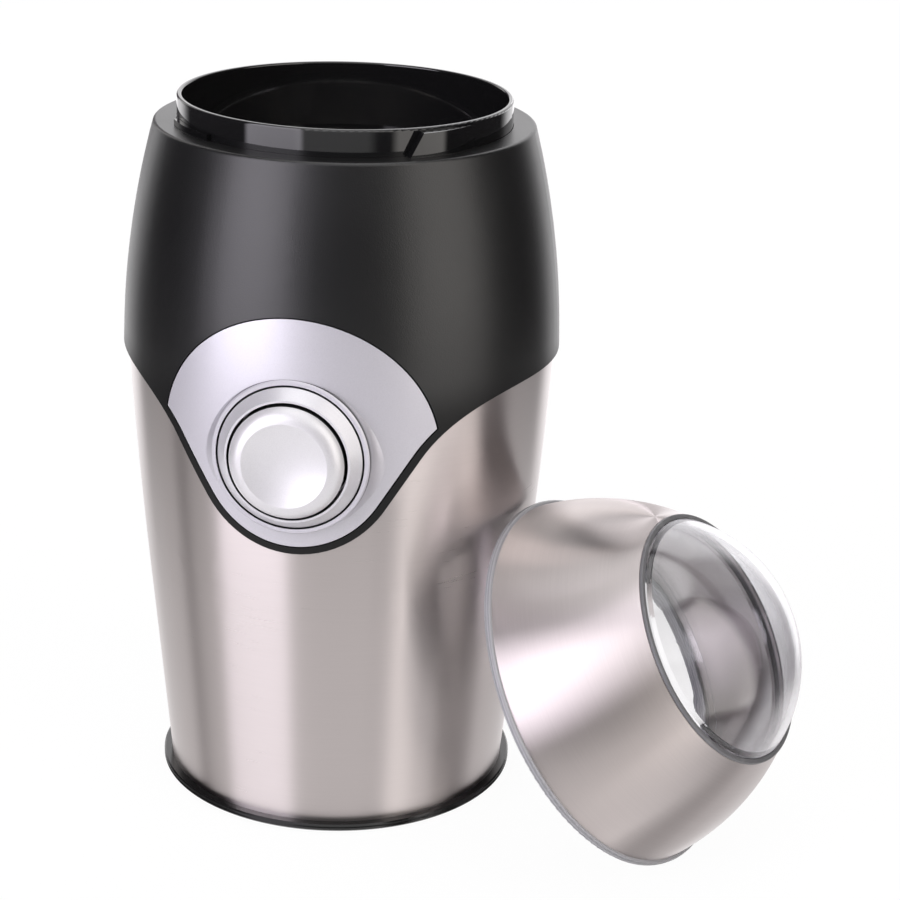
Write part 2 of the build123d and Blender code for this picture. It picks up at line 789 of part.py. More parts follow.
with BuildPart() as bowl_carrier:
    with BuildSketch(Plane.XY.offset(carrier_bottom_z)):
        Circle(carrier_r)
        with PolarLocations(mount_circle_r, corner_count, start_angle=corner_angle):
            Circle(mount_post_r)
    extrude(amount=carrier_floor_wall)
    with BuildSketch(Plane.XY.offset(carrier_floor_z)):
        Circle(carrier_r)
        Circle(carrier_bore_r, mode=Mode.SUBTRACT)
    extrude(amount=bowl_lip_z - bowl_wall - carrier_floor_z)
    with BuildSketch(Plane.XY.offset(carrier_boss_z - ear_wall)):
        with PolarLocations(0, corner_count, start_angle=corner_angle):
            Rectangle(carrier_screw_r, 2 * ear_r, align=(Align.MIN, Align.CENTER))
        with PolarLocations(carrier_screw_r, corner_count, start_angle=corner_angle):
            Circle(ear_r)
        Circle(carrier_bore_r, mode=Mode.SUBTRACT)
        with PolarLocations(carrier_screw_r, corner_count, start_angle=corner_angle):
            Circle(screw_r + fit, mode=Mode.SUBTRACT)
    extrude(amount=ear_wall)
    with BuildSketch(Plane.XY.offset(interlock_shelf_z - shelf_wall)):
        with PolarLocations(0, 1, start_angle=interlock_angle):
            Rectangle(
                pin_circle_r + interlock_body_depth / 2,
                interlock_shelf_width,
                align=(Align.MIN, Align.CENTER),
            )
        Circle(carrier_bore_r, mode=Mode.SUBTRACT)
        with PolarLocations(pin_circle_r, 1, start_angle=interlock_angle):
            Circle(pin_r + fit, mode=Mode.SUBTRACT)
    extrude(amount=shelf_wall)
    with BuildSketch(Plane.XY.offset(interlock_body_top_z - interlock_cheek_grip)):
        with Locations((pin_x, pin_y)):
            with GridLocations(interlock_body_length + 2 * fit + cheek_wall, 0, 2, 1):
                Rectangle(cheek_wall, interlock_body_depth)
    extrude(amount=interlock_shelf_z - interlock_body_top_z + interlock_cheek_grip)
    with BuildSketch(Plane.XY.offset(post_bottom_z)):
        with PolarLocations(mount_circle_r, corner_count, start_angle=corner_angle):
            Circle(mount_post_r)
    extrude(amount=mount_post_height)
    with BuildSketch(Plane.XY.offset(post_bottom_z)):
        with PolarLocations(mount_circle_r, corner_count, start_angle=corner_angle):
            Circle(screw_pilot_r)
    extrude(amount=mount_post_height - 1.0, mode=Mode.SUBTRACT)
    with BuildSketch(Plane.XY.offset(carrier_bottom_z)):
        Circle(seal_r + fit)
    extrude(amount=carrier_floor_wall, mode=Mode.SUBTRACT)
finish(bowl_carrier, "bowl_carrier")

with BuildPart() as shaft_seal:
    with BuildSketch(Plane.XZ):
        with BuildLine():
            Polyline(
                (shaft_r + running_fit, carrier_bottom_z),
                (seal_r, carrier_bottom_z),
                (seal_r, carrier_floor_z),
                (bowl_hole_r - fit, carrier_floor_z),
                (bowl_hole_r - fit, bowl_floor_z + 1.0),
                (shaft_r + 1.0, bowl_floor_z + 2.4),
                (shaft_r + running_fit, bowl_floor_z + 2.4),
                (shaft_r + running_fit, carrier_bottom_z),
            )
        make_face()
    revolve(axis=Axis.Z)
finish(shaft_seal, "shaft_seal")

with BuildPart() as carrier_screws:
    with BuildSketch(Plane.XY.offset(carrier_boss_z - ear_wall)):
        with PolarLocations(carrier_screw_r, corner_count, start_angle=corner_angle):
            Circle(screw_head_r)
    extrude(amount=-screw_head_height)
    with BuildSketch(Plane.XY.offset(carrier_boss_z - ear_wall)):
        with PolarLocations(carrier_screw_r, corner_count, start_angle=corner_angle):
            Circle(screw_r)
    extrude(amount=ear_wall + pilot_depth - 1.0)
finish(carrier_screws, "carrier_screws")

# ---------------------------------------------------------------------------------------------
# Lid interlock at the back: sprung pin, its switch and the switch's plunger
# ---------------------------------------------------------------------------------------------
pin_recess = 0.3
pin_flange_r = 2.4
pin_flange_wall = 1.2
interlock_plunger_r = 1.0
interlock_plunger_length = 4.5

pin_flange_top_z = stop_shelf_z - moving_gap
interlock_plunger_top_z = pin_bottom_z - fit
interlock_plunger_z = interlock_plunger_top_z - interlock_plunger_length

with BuildPart() as interlock_pin:
    with BuildSketch(Plane.XY.offset(pin_bottom_z)):
        with Locations((pin_x, pin_y)):
            Circle(pin_r)
    extrude(amount=shoulder_z - pin_recess - pin_bottom_z)
    fillet(interlock_pin.edges().group_by(Axis.Z)[-1], 0.4)
    with BuildSketch(Plane.XY.offset(pin_flange_top_z)):
        with Locations((pin_x, pin_y)):
            Circle(pin_flange_r)
    extrude(amount=-pin_flange_wall)
finish(interlock_pin, "interlock_pin")

with BuildPart() as interlock_spring:
    add(
        coil_spring(
            (pin_x, pin_y, interlock_shelf_z + spring_wire_r + fit),
            (0, 0, 1),
            pin_r + 2 * spring_wire_r,
            spring_wire_r,
            spring_pitch,
            pin_flange_top_z - pin_flange_wall - interlock_shelf_z - 2 * (spring_wire_r + fit),
        )
    )
finish(interlock_spring, "interlock_spring")

with BuildPart() as interlock_switch:
    with BuildSketch(Plane.XY.offset(interlock_body_top_z)):
        with Locations((pin_x, pin_y)):
            Rectangle(interlock_body_length, interlock_body_depth)
    extrude(amount=-interlock_body_height)
    chamfer(interlock_switch.edges().filter_by(Axis.Z), 0.5)
    with BuildSketch(Plane.XY.offset(interlock_body_top_z)):
        with Locations((pin_x, pin_y)):
            Circle(interlock_plunger_r + fit)
    extrude(
        amount=-(interlock_body_top_z - interlock_plunger_z + interlock_travel + moving_gap),
        mode=Mode.SUBTRACT,
    )
finish(interlock_switch, "interlock_switch")

with BuildPart() as interlock_plunger:
    with BuildSketch(Plane.XY.offset(interlock_plunger_z)):
        with Locations((pin_x, pin_y)):
            Circle(interlock_plunger_r)
    extrude(amount=interlock_plunger_length)
    fillet(interlock_plunger.edges().group_by(Axis.Z)[-1], 0.3)
finish(interlock_plunger, "interlock_plunger")

# ---------------------------------------------------------------------------------------------
# Motor frame: brackets, bushes, stator, coils, bolts and rubber mounts
# ---------------------------------------------------------------------------------------------
armature_r = 17.0
air_gap = 0.5
stator_half_x = 32.0
stator_half_y = 27.0
stator_corner_r = 12.0
pole_tip_wall = 2.5
coil_slot_depth = 5.0
pole_half_angle = 28.0
pole_gap_angle = 28.0  # half the gap between the pole tips
coil_clearance = 0.4
coil_overhang = 6.5
coil_edge_r = 1.2
bolt_x = 28.2
bolt_post_r = 3.2
bracket_half_y = 18.0
bracket_corner_r = 4.0
bush_wall = 2.5
bush_length = 9.0
bush_boss_r = 9.0
mount_flange_r = 4.6
mount_neck_r = 3.1
mount_bore_r = 1.7
mount_lower_flange = 2.0
bracket_ear_r = 6.0

stator_bore_r = armature_r + air_gap
slot_inner_r = stator_bore_r + pole_tip_wall
slot_outer_r = slot_inner_r + coil_slot_depth
bush_r = shaft_r + running_fit + bush_wall


with BuildPart() as stator_core:
    with BuildSketch(Plane.XY.offset(stator_bottom_z)):
        RectangleRounded(2 * stator_half_x, 2 * stator_half_y, stator_corner_r)
        Circle(stator_bore_r, mode=Mode.SUBTRACT)
        for side in (90, 270):
            slot_half_angle = 90 - pole_half_angle
            add(
                sector(slot_inner_r, slot_outer_r, side - slot_half_angle, side + slot_half_angle),
                mode=Mode.SUBTRACT,
            )
            add(
                sector(stator_bore_r - fit, slot_outer_r, side - pole_gap_angle, side + pole_gap_angle),
                mode=Mode.SUBTRACT,
            )
        with GridLocations(2 * bolt_x, 0, 2, 1):
            Circle(screw_r + fit, mode=Mode.SUBTRACT)
    extrude(amount=stator_height)
finish(stator_core, "stator_core")

coil_sweep = 90 - pole_gap_angle - 2.0
coil_window = pole_half_angle + 1.5

with BuildPart() as field_coils:
    for side in (0, 180):
        with BuildSketch(Plane.XY.offset(stator_bottom_z - coil_overhang)):
            add(
                sector(
                    slot_inner_r + coil_clearance,
                    slot_outer_r - coil_clearance,
                    side - coil_sweep,
                    side + coil_sweep,
                )
            )
        extrude(amount=stator_height + 2 * coil_overhang)
    fillet(field_coils.edges().group_by(Axis.Z)[-1], coil_edge_r)
    fillet(field_coils.edges().group_by(Axis.Z)[0], coil_edge_r)
    for side in (0, 180):
        with BuildSketch(Plane.XY.offset(stator_bottom_z - coil_clearance)):
            add(sector(slot_inner_r, slot_outer_r, side - coil_window, side + coil_window))
        extrude(amount=stator_height + 2 * coil_clearance, mode=Mode.SUBTRACT)
finish(field_coils, "field_coils")

with BuildPart() as upper_bracket:
    with BuildSketch(Plane.XY.offset(upper_bracket_z)):
        RectangleRounded(2 * stator_half_x, 2 * bracket_half_y, bracket_corner_r)
        with PolarLocations(mount_circle_r, corner_count, start_angle=corner_angle):
            Circle(bracket_ear_r)
        with PolarLocations(mount_circle_r / 2, corner_count, start_angle=corner_angle):
            Rectangle(mount_circle_r, 2 * bracket_ear_r)
        with PolarLocations(mount_circle_r, corner_count, start_angle=corner_angle):
            Circle(mount_neck_r + fit, mode=Mode.SUBTRACT)
    extrude(amount=upper_bracket_wall)
    with BuildSketch(Plane.XY.offset(upper_bracket_z)):
        Circle(bush_boss_r)
    extrude(amount=bush_length)
    with BuildSketch(Plane.XY.offset(stator_top_z)):
        with GridLocations(2 * bolt_x, 0, 2, 1):
            Circle(bolt_post_r)
    extrude(amount=coil_bay_height)
    with BuildSketch(Plane.XY.offset(stator_top_z)):
        with GridLocations(2 * bolt_x, 0, 2, 1):
            Circle(screw_r + fit)
    extrude(amount=coil_bay_height + upper_bracket_wall, mode=Mode.SUBTRACT)
    with BuildSketch(Plane.XY.offset(upper_bracket_z)):
        Circle(bush_r)
    extrude(amount=bush_length, mode=Mode.SUBTRACT)
finish(upper_bracket, "upper_bracket")

brush_half_x = 3.1
brush_half_z = 2.6
brush_sleeve_wall = 1.2
commutator_r = 9.5
commutator_length = 11.0
brush_length = 12.0
brush_sleeve_start = 2.0  # commutator to the brush sleeve
brush_sleeve_length = 17.0
brush_level = 0.42  # share of the brush bay at which the brushes stand
brush_tower_half_x = 6.0
brush_cap_wall = 1.2
vent_slot = 5.0

lower_bay_r = sleeve_r(lower_bracket_z) - cavity_inset
brush_z = lower_bracket_top_z + brush_level * brush_bay_height
brush_sleeve_y = commutator_r + brush_sleeve_start
brush_sleeve_end_y = brush_sleeve_y + brush_sleeve_length
brush_sleeve_bottom_z = brush_z - brush_half_z - fit - brush_sleeve_wall

with BuildPart() as lower_bracket:
    with BuildSketch(Plane.XY.offset(lower_bracket_z)):
        RectangleRounded(2 * stator_half_x, 2 * stator_half_y, stator_corner_r)
        Circle(lower_bay_r - moving_gap, mode=Mode.INTERSECT)
        with PolarLocations((bush_boss_r + stator_half_y) / 2, 4, start_angle=45):
            SlotOverall(3 * vent_slot, vent_slot, rotation=90, mode=Mode.SUBTRACT)
    extrude(amount=lower_bracket_wall)
    with BuildSketch(Plane.XY.offset(boss_bottom_z)):
        Circle(bush_boss_r)
    extrude(amount=bush_length)
    with BuildSketch(Plane.XY.offset(lower_bracket_top_z)):
        with GridLocations(2 * bolt_x, 0, 2, 1):
            Circle(bolt_post_r)
    extrude(amount=brush_bay_height)
    with BuildSketch(Plane.XY.offset(lower_bracket_top_z)):
        with GridLocations(0, brush_sleeve_y + brush_sleeve_end_y, 1, 2):
            Rectangle(2 * brush_tower_half_x, brush_sleeve_length - 2.0)
    extrude(amount=brush_sleeve_bottom_z - lower_bracket_top_z)
    with BuildSketch(Plane.XY.offset(lower_bracket_z)):
        with GridLocations(2 * bolt_x, 0, 2, 1):
            Circle(screw_r + fit)
    extrude(amount=lower_bracket_wall + brush_bay_height, mode=Mode.SUBTRACT)
    with BuildSketch(Plane.XY.offset(boss_bottom_z)):
        Circle(bush_r)
    extrude(amount=bush_length, mode=Mode.SUBTRACT)
finish(lower_bracket, "lower_bracket")

for bush_name, bush_bottom_z in (("upper_bush", upper_bracket_z), ("lower_bush", boss_bottom_z)):
    with BuildPart() as bush:
        with BuildSketch(Plane.XY.offset(bush_bottom_z)):
            Circle(bush_r)
            Circle(shaft_r + running_fit, mode=Mode.SUBTRACT)
        extrude(amount=bush_length)
    finish(bush, bush_name)

bolt_head_height = 2.0
nut_height = 2.4
nut_r = 3.0

with BuildPart() as motor_bolts:
    with BuildSketch(Plane.XY.offset(lower_bracket_z)):
        with GridLocations(2 * bolt_x, 0, 2, 1):
            Circle(screw_head_r)
    extrude(amount=-bolt_head_height)
    with BuildSketch(Plane.XY.offset(lower_bracket_z)):
        with GridLocations(2 * bolt_x, 0, 2, 1):
            Circle(screw_r)
    extrude(amount=upper_bracket_top_z + nut_height + 1.0 - lower_bracket_z)
finish(motor_bolts, "motor_bolts")

with BuildPart() as motor_nuts:
    with BuildSketch(Plane.XY.offset(upper_bracket_top_z)):
        with GridLocations(2 * bolt_x, 0, 2, 1):
            RegularPolygon(nut_r, 6)
            Circle(screw_r, mode=Mode.SUBTRACT)
    extrude(amount=nut_height)
finish(motor_nuts, "motor_nuts")

with BuildPart() as rubber_spool:
    with BuildSketch(Plane.XZ):
        with BuildLine():
            Polyline(
                (mount_bore_r, post_bottom_z),
                (mount_flange_r, post_bottom_z),
                (mount_flange_r, upper_bracket_top_z),
                (mount_neck_r, upper_bracket_top_z),
                (mount_neck_r, upper_bracket_z),
                (mount_flange_r, upper_bracket_z),
                (mount_flange_r, upper_bracket_z - mount_lower_flange),
                (mount_bore_r, upper_bracket_z - mount_lower_flange),
                (mount_bore_r, post_bottom_z),
            )
        make_face()
    revolve(axis=Axis.Z)

with BuildPart() as motor_mounts:
    with PolarLocations(mount_circle_r, corner_count, start_angle=corner_angle):
        add(rubber_spool.part)
finish(motor_mounts, "motor_mounts")

with BuildPart() as mount_screws:
    with BuildSketch(Plane.XY.offset(upper_bracket_z - mount_lower_flange)):
        with PolarLocations(mount_circle_r, corner_count, start_angle=corner_angle):
            Circle(screw_head_r)
    extrude(amount=-screw_head_height)
    with BuildSketch(Plane.XY.offset(upper_bracket_z - mount_lower_flange)):
        with PolarLocations(mount_circle_r, corner_count, start_angle=corner_angle):
            Circle(screw_r)
    extrude(amount=post_bottom_z + mount_post_height - 2.0 - upper_bracket_z + mount_lower_flange)
finish(mount_screws, "mount_screws")

# ---------------------------------------------------------------------------------------------
# Brush gear
# ---------------------------------------------------------------------------------------------
brush_end_y = commutator_r + running_fit + brush_length

with BuildPart() as brush_holders:
    with BuildSketch(Plane.XZ.offset(brush_sleeve_y)):
        with Locations((0, brush_z)):
            Rectangle(
                2 * (brush_half_x + fit + brush_sleeve_wall), 2 * (brush_half_z + fit + brush_sleeve_wall)
            )
    extrude(amount=brush_sleeve_length)
    with BuildSketch(Plane.XZ.offset(brush_sleeve_y)):
        with Locations((0, brush_z)):
            Rectangle(2 * (brush_half_x + fit), 2 * (brush_half_z + fit))
    extrude(amount=brush_sleeve_length - brush_cap_wall, mode=Mode.SUBTRACT)
    mirror(about=Plane.XZ)
finish(brush_holders, "brush_holders")

with BuildPart() as carbon_brushes:
    with BuildSketch(Plane.XZ):
        with Locations((0, brush_z)):
            Rectangle(2 * brush_half_x, 2 * brush_half_z)
    extrude(amount=brush_end_y, both=True)
    with BuildSketch(Plane.XY.offset(brush_z)):
        Circle(commutator_r + running_fit)
    extrude(amount=2 * brush_half_z, both=True, mode=Mode.SUBTRACT)
finish(carbon_brushes, "carbon_brushes")

brush_spring_r = 1.9

with BuildPart() as brush_springs:
    add(
        coil_spring(
            (0, -brush_end_y - spring_wire_r - fit, brush_z),
            (0, -1, 0),
            brush_spring_r,
            spring_wire_r,
            spring_pitch,
            brush_sleeve_end_y - brush_cap_wall - brush_end_y - 2 * (spring_wire_r + fit),
        )
    )
    mirror(about=Plane.XZ)
finish(brush_springs, "brush_springs")

# ---------------------------------------------------------------------------------------------
# Rotor: shaft, armature, commutator, fan, blade and nut
# ---------------------------------------------------------------------------------------------
blade_clearance = 5.0
blade_wall = 1.5
thread_r = 3.0
blade_nut_height = 4.2
blade_nut_r = 5.2
shaft_tail = 1.5  # below the fan

blade_z = bowl_floor_z + blade_clearance
shaft_bottom_z = fan_bottom_z - shaft_tail

with BuildPart() as motor_shaft:
    with BuildSketch(Plane.XZ):
        with BuildLine():
            Polyline(
                (0, shaft_bottom_z),
                (shaft_r - 0.5, shaft_bottom_z),
                (shaft_r, shaft_bottom_z + 0.5),
                (shaft_r, blade_z),
                (thread_r, blade_z),
                (thread_r, blade_z + blade_wall + blade_nut_height + 0.6),
                (0, blade_z + blade_wall + blade_nut_height + 1.2),
                (0, shaft_bottom_z),
            )
        make_face()
    revolve(axis=Axis.Z)
finish(motor_shaft, "motor_shaft")

armature_slots = 12
slot_r = 1.9
slot_circle_r = 12.6
slot_mouth = 1.4
winding_clearance = 0.15

with BuildPart() as armature_core:
    with BuildSketch(Plane.XY.offset(stator_bottom_z)):
        Circle(armature_r)
        Circle(shaft_r, mode=Mode.SUBTRACT)
        with PolarLocations(slot_circle_r, armature_slots):
            Circle(slot_r, mode=Mode.SUBTRACT)
        with PolarLocations((slot_circle_r + armature_r) / 2, armature_slots):
            Rectangle(armature_r - slot_circle_r + 1.0, slot_mouth, mode=Mode.SUBTRACT)
    extrude(amount=stator_height)
finish(armature_core, "armature_core")

head_height = 5.6
head_inner_r = shaft_r + 1.6
head_r = slot_circle_r + slot_r - 0.3

with BuildPart() as armature_windings:
    for head_z, head_sign in ((stator_bottom_z - fit, -1), (stator_top_z + fit, 1)):
        with BuildSketch(Plane.XY.offset(head_z)):
            Circle(head_r)
            Circle(head_inner_r, mode=Mode.SUBTRACT)
        extrude(amount=head_sign * head_height)
    fillet(armature_windings.edges().group_by(Axis.Z)[-1], 2.0)
    fillet(armature_windings.edges().group_by(Axis.Z)[0], 2.0)
    with BuildSketch(Plane.XY.offset(stator_bottom_z - fit)):
        with PolarLocations(slot_circle_r, armature_slots):
            Circle(slot_r - winding_clearance)
    extrude(amount=stator_height + 2 * fit)
finish(armature_windings, "armature_windings")

commutator_bars = 12
bar_slit = 0.5
bar_slit_depth = 1.0
riser_height = 2.0
riser_width = 1.2

with BuildPart() as commutator:
    with BuildSketch(Plane.XY.offset(brush_z - commutator_length / 2)):
        Circle(commutator_r)
    extrude(amount=commutator_length)
    with BuildSketch(Plane.XY.offset(brush_z + commutator_length / 2)):
        Circle(commutator_r + riser_width)
    extrude(amount=riser_height)
    with BuildSketch(Plane.XY.offset(brush_z - commutator_length / 2)):
        with PolarLocations(commutator_r + riser_width, commutator_bars):
            Rectangle(2 * (bar_slit_depth + riser_width), bar_slit)
    extrude(amount=commutator_length + riser_height, mode=Mode.SUBTRACT)
    with BuildSketch(Plane.XY.offset(brush_z - commutator_length / 2)):
        Circle(shaft_r)
    extrude(amount=commutator_length + riser_height, mode=Mode.SUBTRACT)
finish(commutator, "commutator")

fan_boss_gap = 1.3  # fan to the base screws' bosses
fan_hub_r = 7.5
fan_disc_wall = 1.6
fan_blades = 11
fan_blade_wall = 1.2
fan_vane_bow = 2.4
fan_r = base_screw_circle_r - base_boss_r - fan_boss_gap

with BuildSketch() as fan_vane:
    with BuildLine():
        ThreePointArc(
            (fan_hub_r - 1.0, 0),
            ((fan_hub_r + fan_r) / 2, -fan_vane_bow),
            (fan_r - 1.0, 0),
        )
    trace(line_width=fan_blade_wall)

with BuildPart() as cooling_fan:
    with BuildSketch(Plane.XY.offset(fan_top_z - fan_disc_wall)):
        Circle(fan_r)
    extrude(amount=fan_disc_wall)
    with BuildSketch(Plane.XY.offset(fan_bottom_z)):
        Circle(fan_hub_r)
        with PolarLocations(0, fan_blades):
            add(fan_vane.sketch)
    extrude(amount=fan_height - fan_disc_wall)
    with BuildSketch(Plane.XY.offset(fan_bottom_z)):
        Circle(shaft_r)
    extrude(amount=fan_height, mode=Mode.SUBTRACT)
finish(cooling_fan, "cooling_fan")

blade_tip_gap = 5.0  # tip to the bowl's wall
blade_width = 12.0
blade_flat = 9.0
blade_rise = 15.0  # degrees, the raised wing
blade_drop = 8.0  # degrees, the lowered wing
blade_r = bowl_r - blade_tip_gap

with BuildSketch() as wing_outline:
    with BuildLine():
        leading_edge = ThreePointArc(
            (0, blade_width / 2),
            (blade_r * 0.6, blade_width * 0.44),
            (blade_r * 0.98, -blade_width * 0.2),
        )
        trailing_edge = ThreePointArc(
            leading_edge @ 1, (blade_r * 0.55, -blade_width * 0.3), (0, -blade_width / 2)
        )
        Line(trailing_edge @ 1, leading_edge @ 0)
    make_face()

wing_length = blade_r - blade_flat
raised_tip_z = blade_z + wing_length * math.tan(math.radians(blade_rise))
lowered_tip_z = blade_z - wing_length * math.tan(math.radians(blade_drop))

with BuildPart() as grinding_blade:
    with BuildSketch(Plane.XZ.offset(-blade_width)):
        with BuildLine():
            Polyline(
                (-blade_r, lowered_tip_z),
                (-blade_flat, blade_z),
                (blade_flat, blade_z),
                (blade_r, raised_tip_z),
                (blade_r, raised_tip_z + blade_wall),
                (blade_flat, blade_z + blade_wall),
                (-blade_flat, blade_z + blade_wall),
                (-blade_r, lowered_tip_z + blade_wall),
                (-blade_r, lowered_tip_z),
            )
        make_face()
    extrude(amount=2 * blade_width)
    with BuildSketch(Plane.XY.offset(blade_z - blade_r)):
        with PolarLocations(0, 2):
            add(wing_outline.sketch)
    extrude(amount=2 * blade_r, mode=Mode.INTERSECT)
    with BuildSketch(Plane.XY.offset(blade_z)):
        Circle(thread_r)
    extrude(amount=blade_wall, mode=Mode.SUBTRACT)
finish(grinding_blade, "grinding_blade")

with BuildPart() as blade_nut:
    with BuildSketch(Plane.XY.offset(blade_z + blade_wall)):
        RegularPolygon(blade_nut_r, 6)
        Circle(thread_r, mode=Mode.SUBTRACT)
    extrude(amount=blade_nut_height)
finish(blade_nut, "blade_nut")

washer_wall = 0.8
washer_r = 7.0

with BuildPart() as thrust_washers:
    for washer_z in (upper_bracket_z - washer_wall - fit, boss_bottom_z + bush_length + fit):
        with BuildSketch(Plane.XY.offset(washer_z)):
            Circle(washer_r)
            Circle(shaft_r, mode=Mode.SUBTRACT)
        extrude(amount=washer_wall)
finish(thrust_washers, "thrust_washers")

# ---------------------------------------------------------------------------------------------
# Base: trim ring, vented plate, rubber foot ring, screws and cord grommet
# ---------------------------------------------------------------------------------------------
ring_flange = 2.0
ring_bottom_z = 0.6
plate_inset = 1.5
ledge_width = 4.0
ring_lip_height = 2.7
ring_lip_wall = 1.0
ring_groove = 0.35
foot_ring_inset = 0.7
foot_ring_width = 4.0
screw_pad_r = 3.6
head_recess_r = 3.1
head_recess_depth = 1.9
vent_count = 10
vent_length = 14.0
vent_width = 3.0
vent_circle_r = 16.5

ring_r = foot_r + ring_flange
plate_r = foot_r - plate_inset
ring_bore_r = plate_r + fit
ledge_r = ring_bore_r - ledge_width
tube_foot_r = sleeve_r(tube_bottom_z) - tube_inset
lip_outer_r = tube_foot_r - tube_wall - fit
lip_bore_r = lip_outer_r - ring_lip_wall
groove_z = (ring_bottom_z + sleeve_bottom_z) / 2
foot_ring_r = plate_r - foot_ring_inset

with BuildPart() as base_ring:
    with BuildSketch(Plane.XZ):
        with BuildLine():
            Polyline(
                (ledge_r, plate_top_z),
                (ring_bore_r, plate_top_z),
                (ring_bore_r, ring_bottom_z),
                (ring_r - ring_groove, ring_bottom_z),
                (ring_r, ring_bottom_z + ring_groove),
                (ring_r, groove_z - ring_groove),
                (ring_r - ring_groove, groove_z),
                (ring_r, groove_z + ring_groove),
                (ring_r, sleeve_bottom_z - ring_groove),
                (ring_r - ring_groove, sleeve_bottom_z),
                (foot_r - sleeve_wall - fit, sleeve_bottom_z),
                (foot_r - sleeve_wall - fit, tube_bottom_z),
                (lip_outer_r, tube_bottom_z),
                (lip_outer_r, tube_bottom_z + ring_lip_height),
                (lip_bore_r, tube_bottom_z + ring_lip_height),
                (lip_bore_r, tube_bottom_z),
                (ledge_r, tube_bottom_z),
                (ledge_r, plate_top_z),
            )
        make_face()
    revolve(axis=Axis.Z)
    with BuildSketch(Plane.XY.offset(tube_bottom_z)):
        with PolarLocations(lip_outer_r, corner_count, start_angle=corner_angle):
            Rectangle(3 * ring_lip_wall, rib_wall + 2 * moving_gap)
    extrude(amount=ring_lip_height, mode=Mode.SUBTRACT)
finish(base_ring, "base_ring")

with BuildPart() as base_plate:
    with BuildSketch(Plane.XY.offset(plate_bottom_z)):
        Circle(plate_r)
        with PolarLocations(vent_circle_r, vent_count):
            SlotOverall(vent_length, vent_width, mode=Mode.SUBTRACT)
    extrude(amount=plate_wall)
    with BuildSketch(Plane.XY.offset(plate_top_z)):
        with PolarLocations(base_screw_circle_r, corner_count, start_angle=corner_angle):
            Circle(screw_pad_r)
    extrude(amount=tube_bottom_z - plate_top_z)
    with BuildSketch(Plane.XY.offset(plate_bottom_z)):
        Circle(foot_ring_r + fit)
        Circle(foot_ring_r - foot_ring_width - fit, mode=Mode.SUBTRACT)
    extrude(amount=foot_groove, mode=Mode.SUBTRACT)
    with BuildSketch(Plane.XY.offset(plate_bottom_z)):
        with PolarLocations(base_screw_circle_r, corner_count, start_angle=corner_angle):
            Circle(head_recess_r)
    extrude(amount=head_recess_depth, mode=Mode.SUBTRACT)
    with BuildSketch(Plane.XY.offset(plate_bottom_z)):
        with PolarLocations(base_screw_circle_r, corner_count, start_angle=corner_angle):
            Circle(screw_r + fit)
    extrude(amount=tube_bottom_z - plate_bottom_z, mode=Mode.SUBTRACT)
finish(base_plate, "base_plate")

with BuildPart() as foot_ring:
    with BuildSketch():
        Circle(foot_ring_r)
        Circle(foot_ring_r - foot_ring_width, mode=Mode.SUBTRACT)
    extrude(amount=foot_height + foot_groove)
    chamfer(foot_ring.edges().group_by(Axis.Z)[0], 0.3)
finish(foot_ring, "foot_ring")

with BuildPart() as base_screws:
    head_top_z = plate_bottom_z + head_recess_depth
    with BuildSketch(Plane.XY.offset(head_top_z)):
        with PolarLocations(base_screw_circle_r, corner_count, start_angle=corner_angle):
            Circle(screw_head_r)
    extrude(amount=-screw_head_height)
    with BuildSketch(Plane.XY.offset(head_top_z)):
        with PolarLocations(base_screw_circle_r, corner_count, start_angle=corner_angle):
            Circle(screw_r)
    extrude(amount=tube_bottom_z + pilot_depth - 1.0 - head_top_z)
finish(base_screws, "base_screws")

grommet_lip = 1.7
grommet_front_wall = 2.0
grommet_back_wall = 1.6

grommet_flange_r = grommet_r + grommet_lip
grommet_front_y = sleeve_r(cord_z) + grommet_front_wall
grommet_back_y = sleeve_r(cord_z - grommet_flange_r) - cavity_inset - grommet_back_wall - grommet_lip

with BuildPart() as grommet_back:
    with BuildSketch(Plane.XZ.offset(-grommet_back_y)):
        with Locations((0, cord_z)):
            Circle(grommet_flange_r)
    extrude(amount=grommet_back_y - grommet_front_y)
    add(solid_sleeve(cavity_inset + fit, sleeve_bottom_z, knee_z + 1.0), mode=Mode.INTERSECT)

with BuildPart() as cord_grommet:
    with BuildSketch(Plane.XZ.offset(-grommet_front_y)):
        with Locations((0, cord_z)):
            Circle(grommet_r)
    extrude(
        amount=grommet_front_y - grommet_back_y,
        taper=-math.degrees(math.atan(grommet_lip / (grommet_front_y - grommet_back_y))),
    )
    add(solid_sleeve(-fit, sleeve_bottom_z, knee_z + 1.0), mode=Mode.SUBTRACT)
    with BuildSketch(Plane.XZ.offset(-grommet_back_y)):
        with Locations((0, cord_z)):
            Circle(grommet_r)
    extrude(amount=grommet_back_y - grommet_front_y)
    add(grommet_back.part)
    with BuildSketch(Plane.XZ.offset(-grommet_back_y)):
        with Locations((0, cord_z)):
            Circle(cord_r)
    extrude(amount=grommet_back_y - grommet_front_y, mode=Mode.SUBTRACT)
finish(cord_grommet, "cord_grommet")

# ---------------------------------------------------------------------------------------------
# Lid, leaning with its rim on the table and against the sleeve: sketches use (radius, height
# above the rim's plane)
# ---------------------------------------------------------------------------------------------
lid_azimuth = -17.5
lid_lean = 32.6  # degrees from level up to the lid's axis
lid_overhang = 0.55  # rim beyond the shoulder's edge when the lid is on
rim_wall = 1.6
rim_step = 0.9  # rim beyond the steel cover
rim_edge_r = 0.5
lid_height = 31.3
window_rim_r = 28.9
cover_bulge = 2.3
cover_inset = 0.8
cover_wall = 0.6
window_r = 28.0
dome_r = 27.6
dome_neck = 1.1
dome_rise = 14.4
dome_wall = 1.8
liner_wall = 1.5
skirt_wall = 1.2
skirt_height = 5.0
dome_ring_height = 0.9
dome_ring_width = 1.2

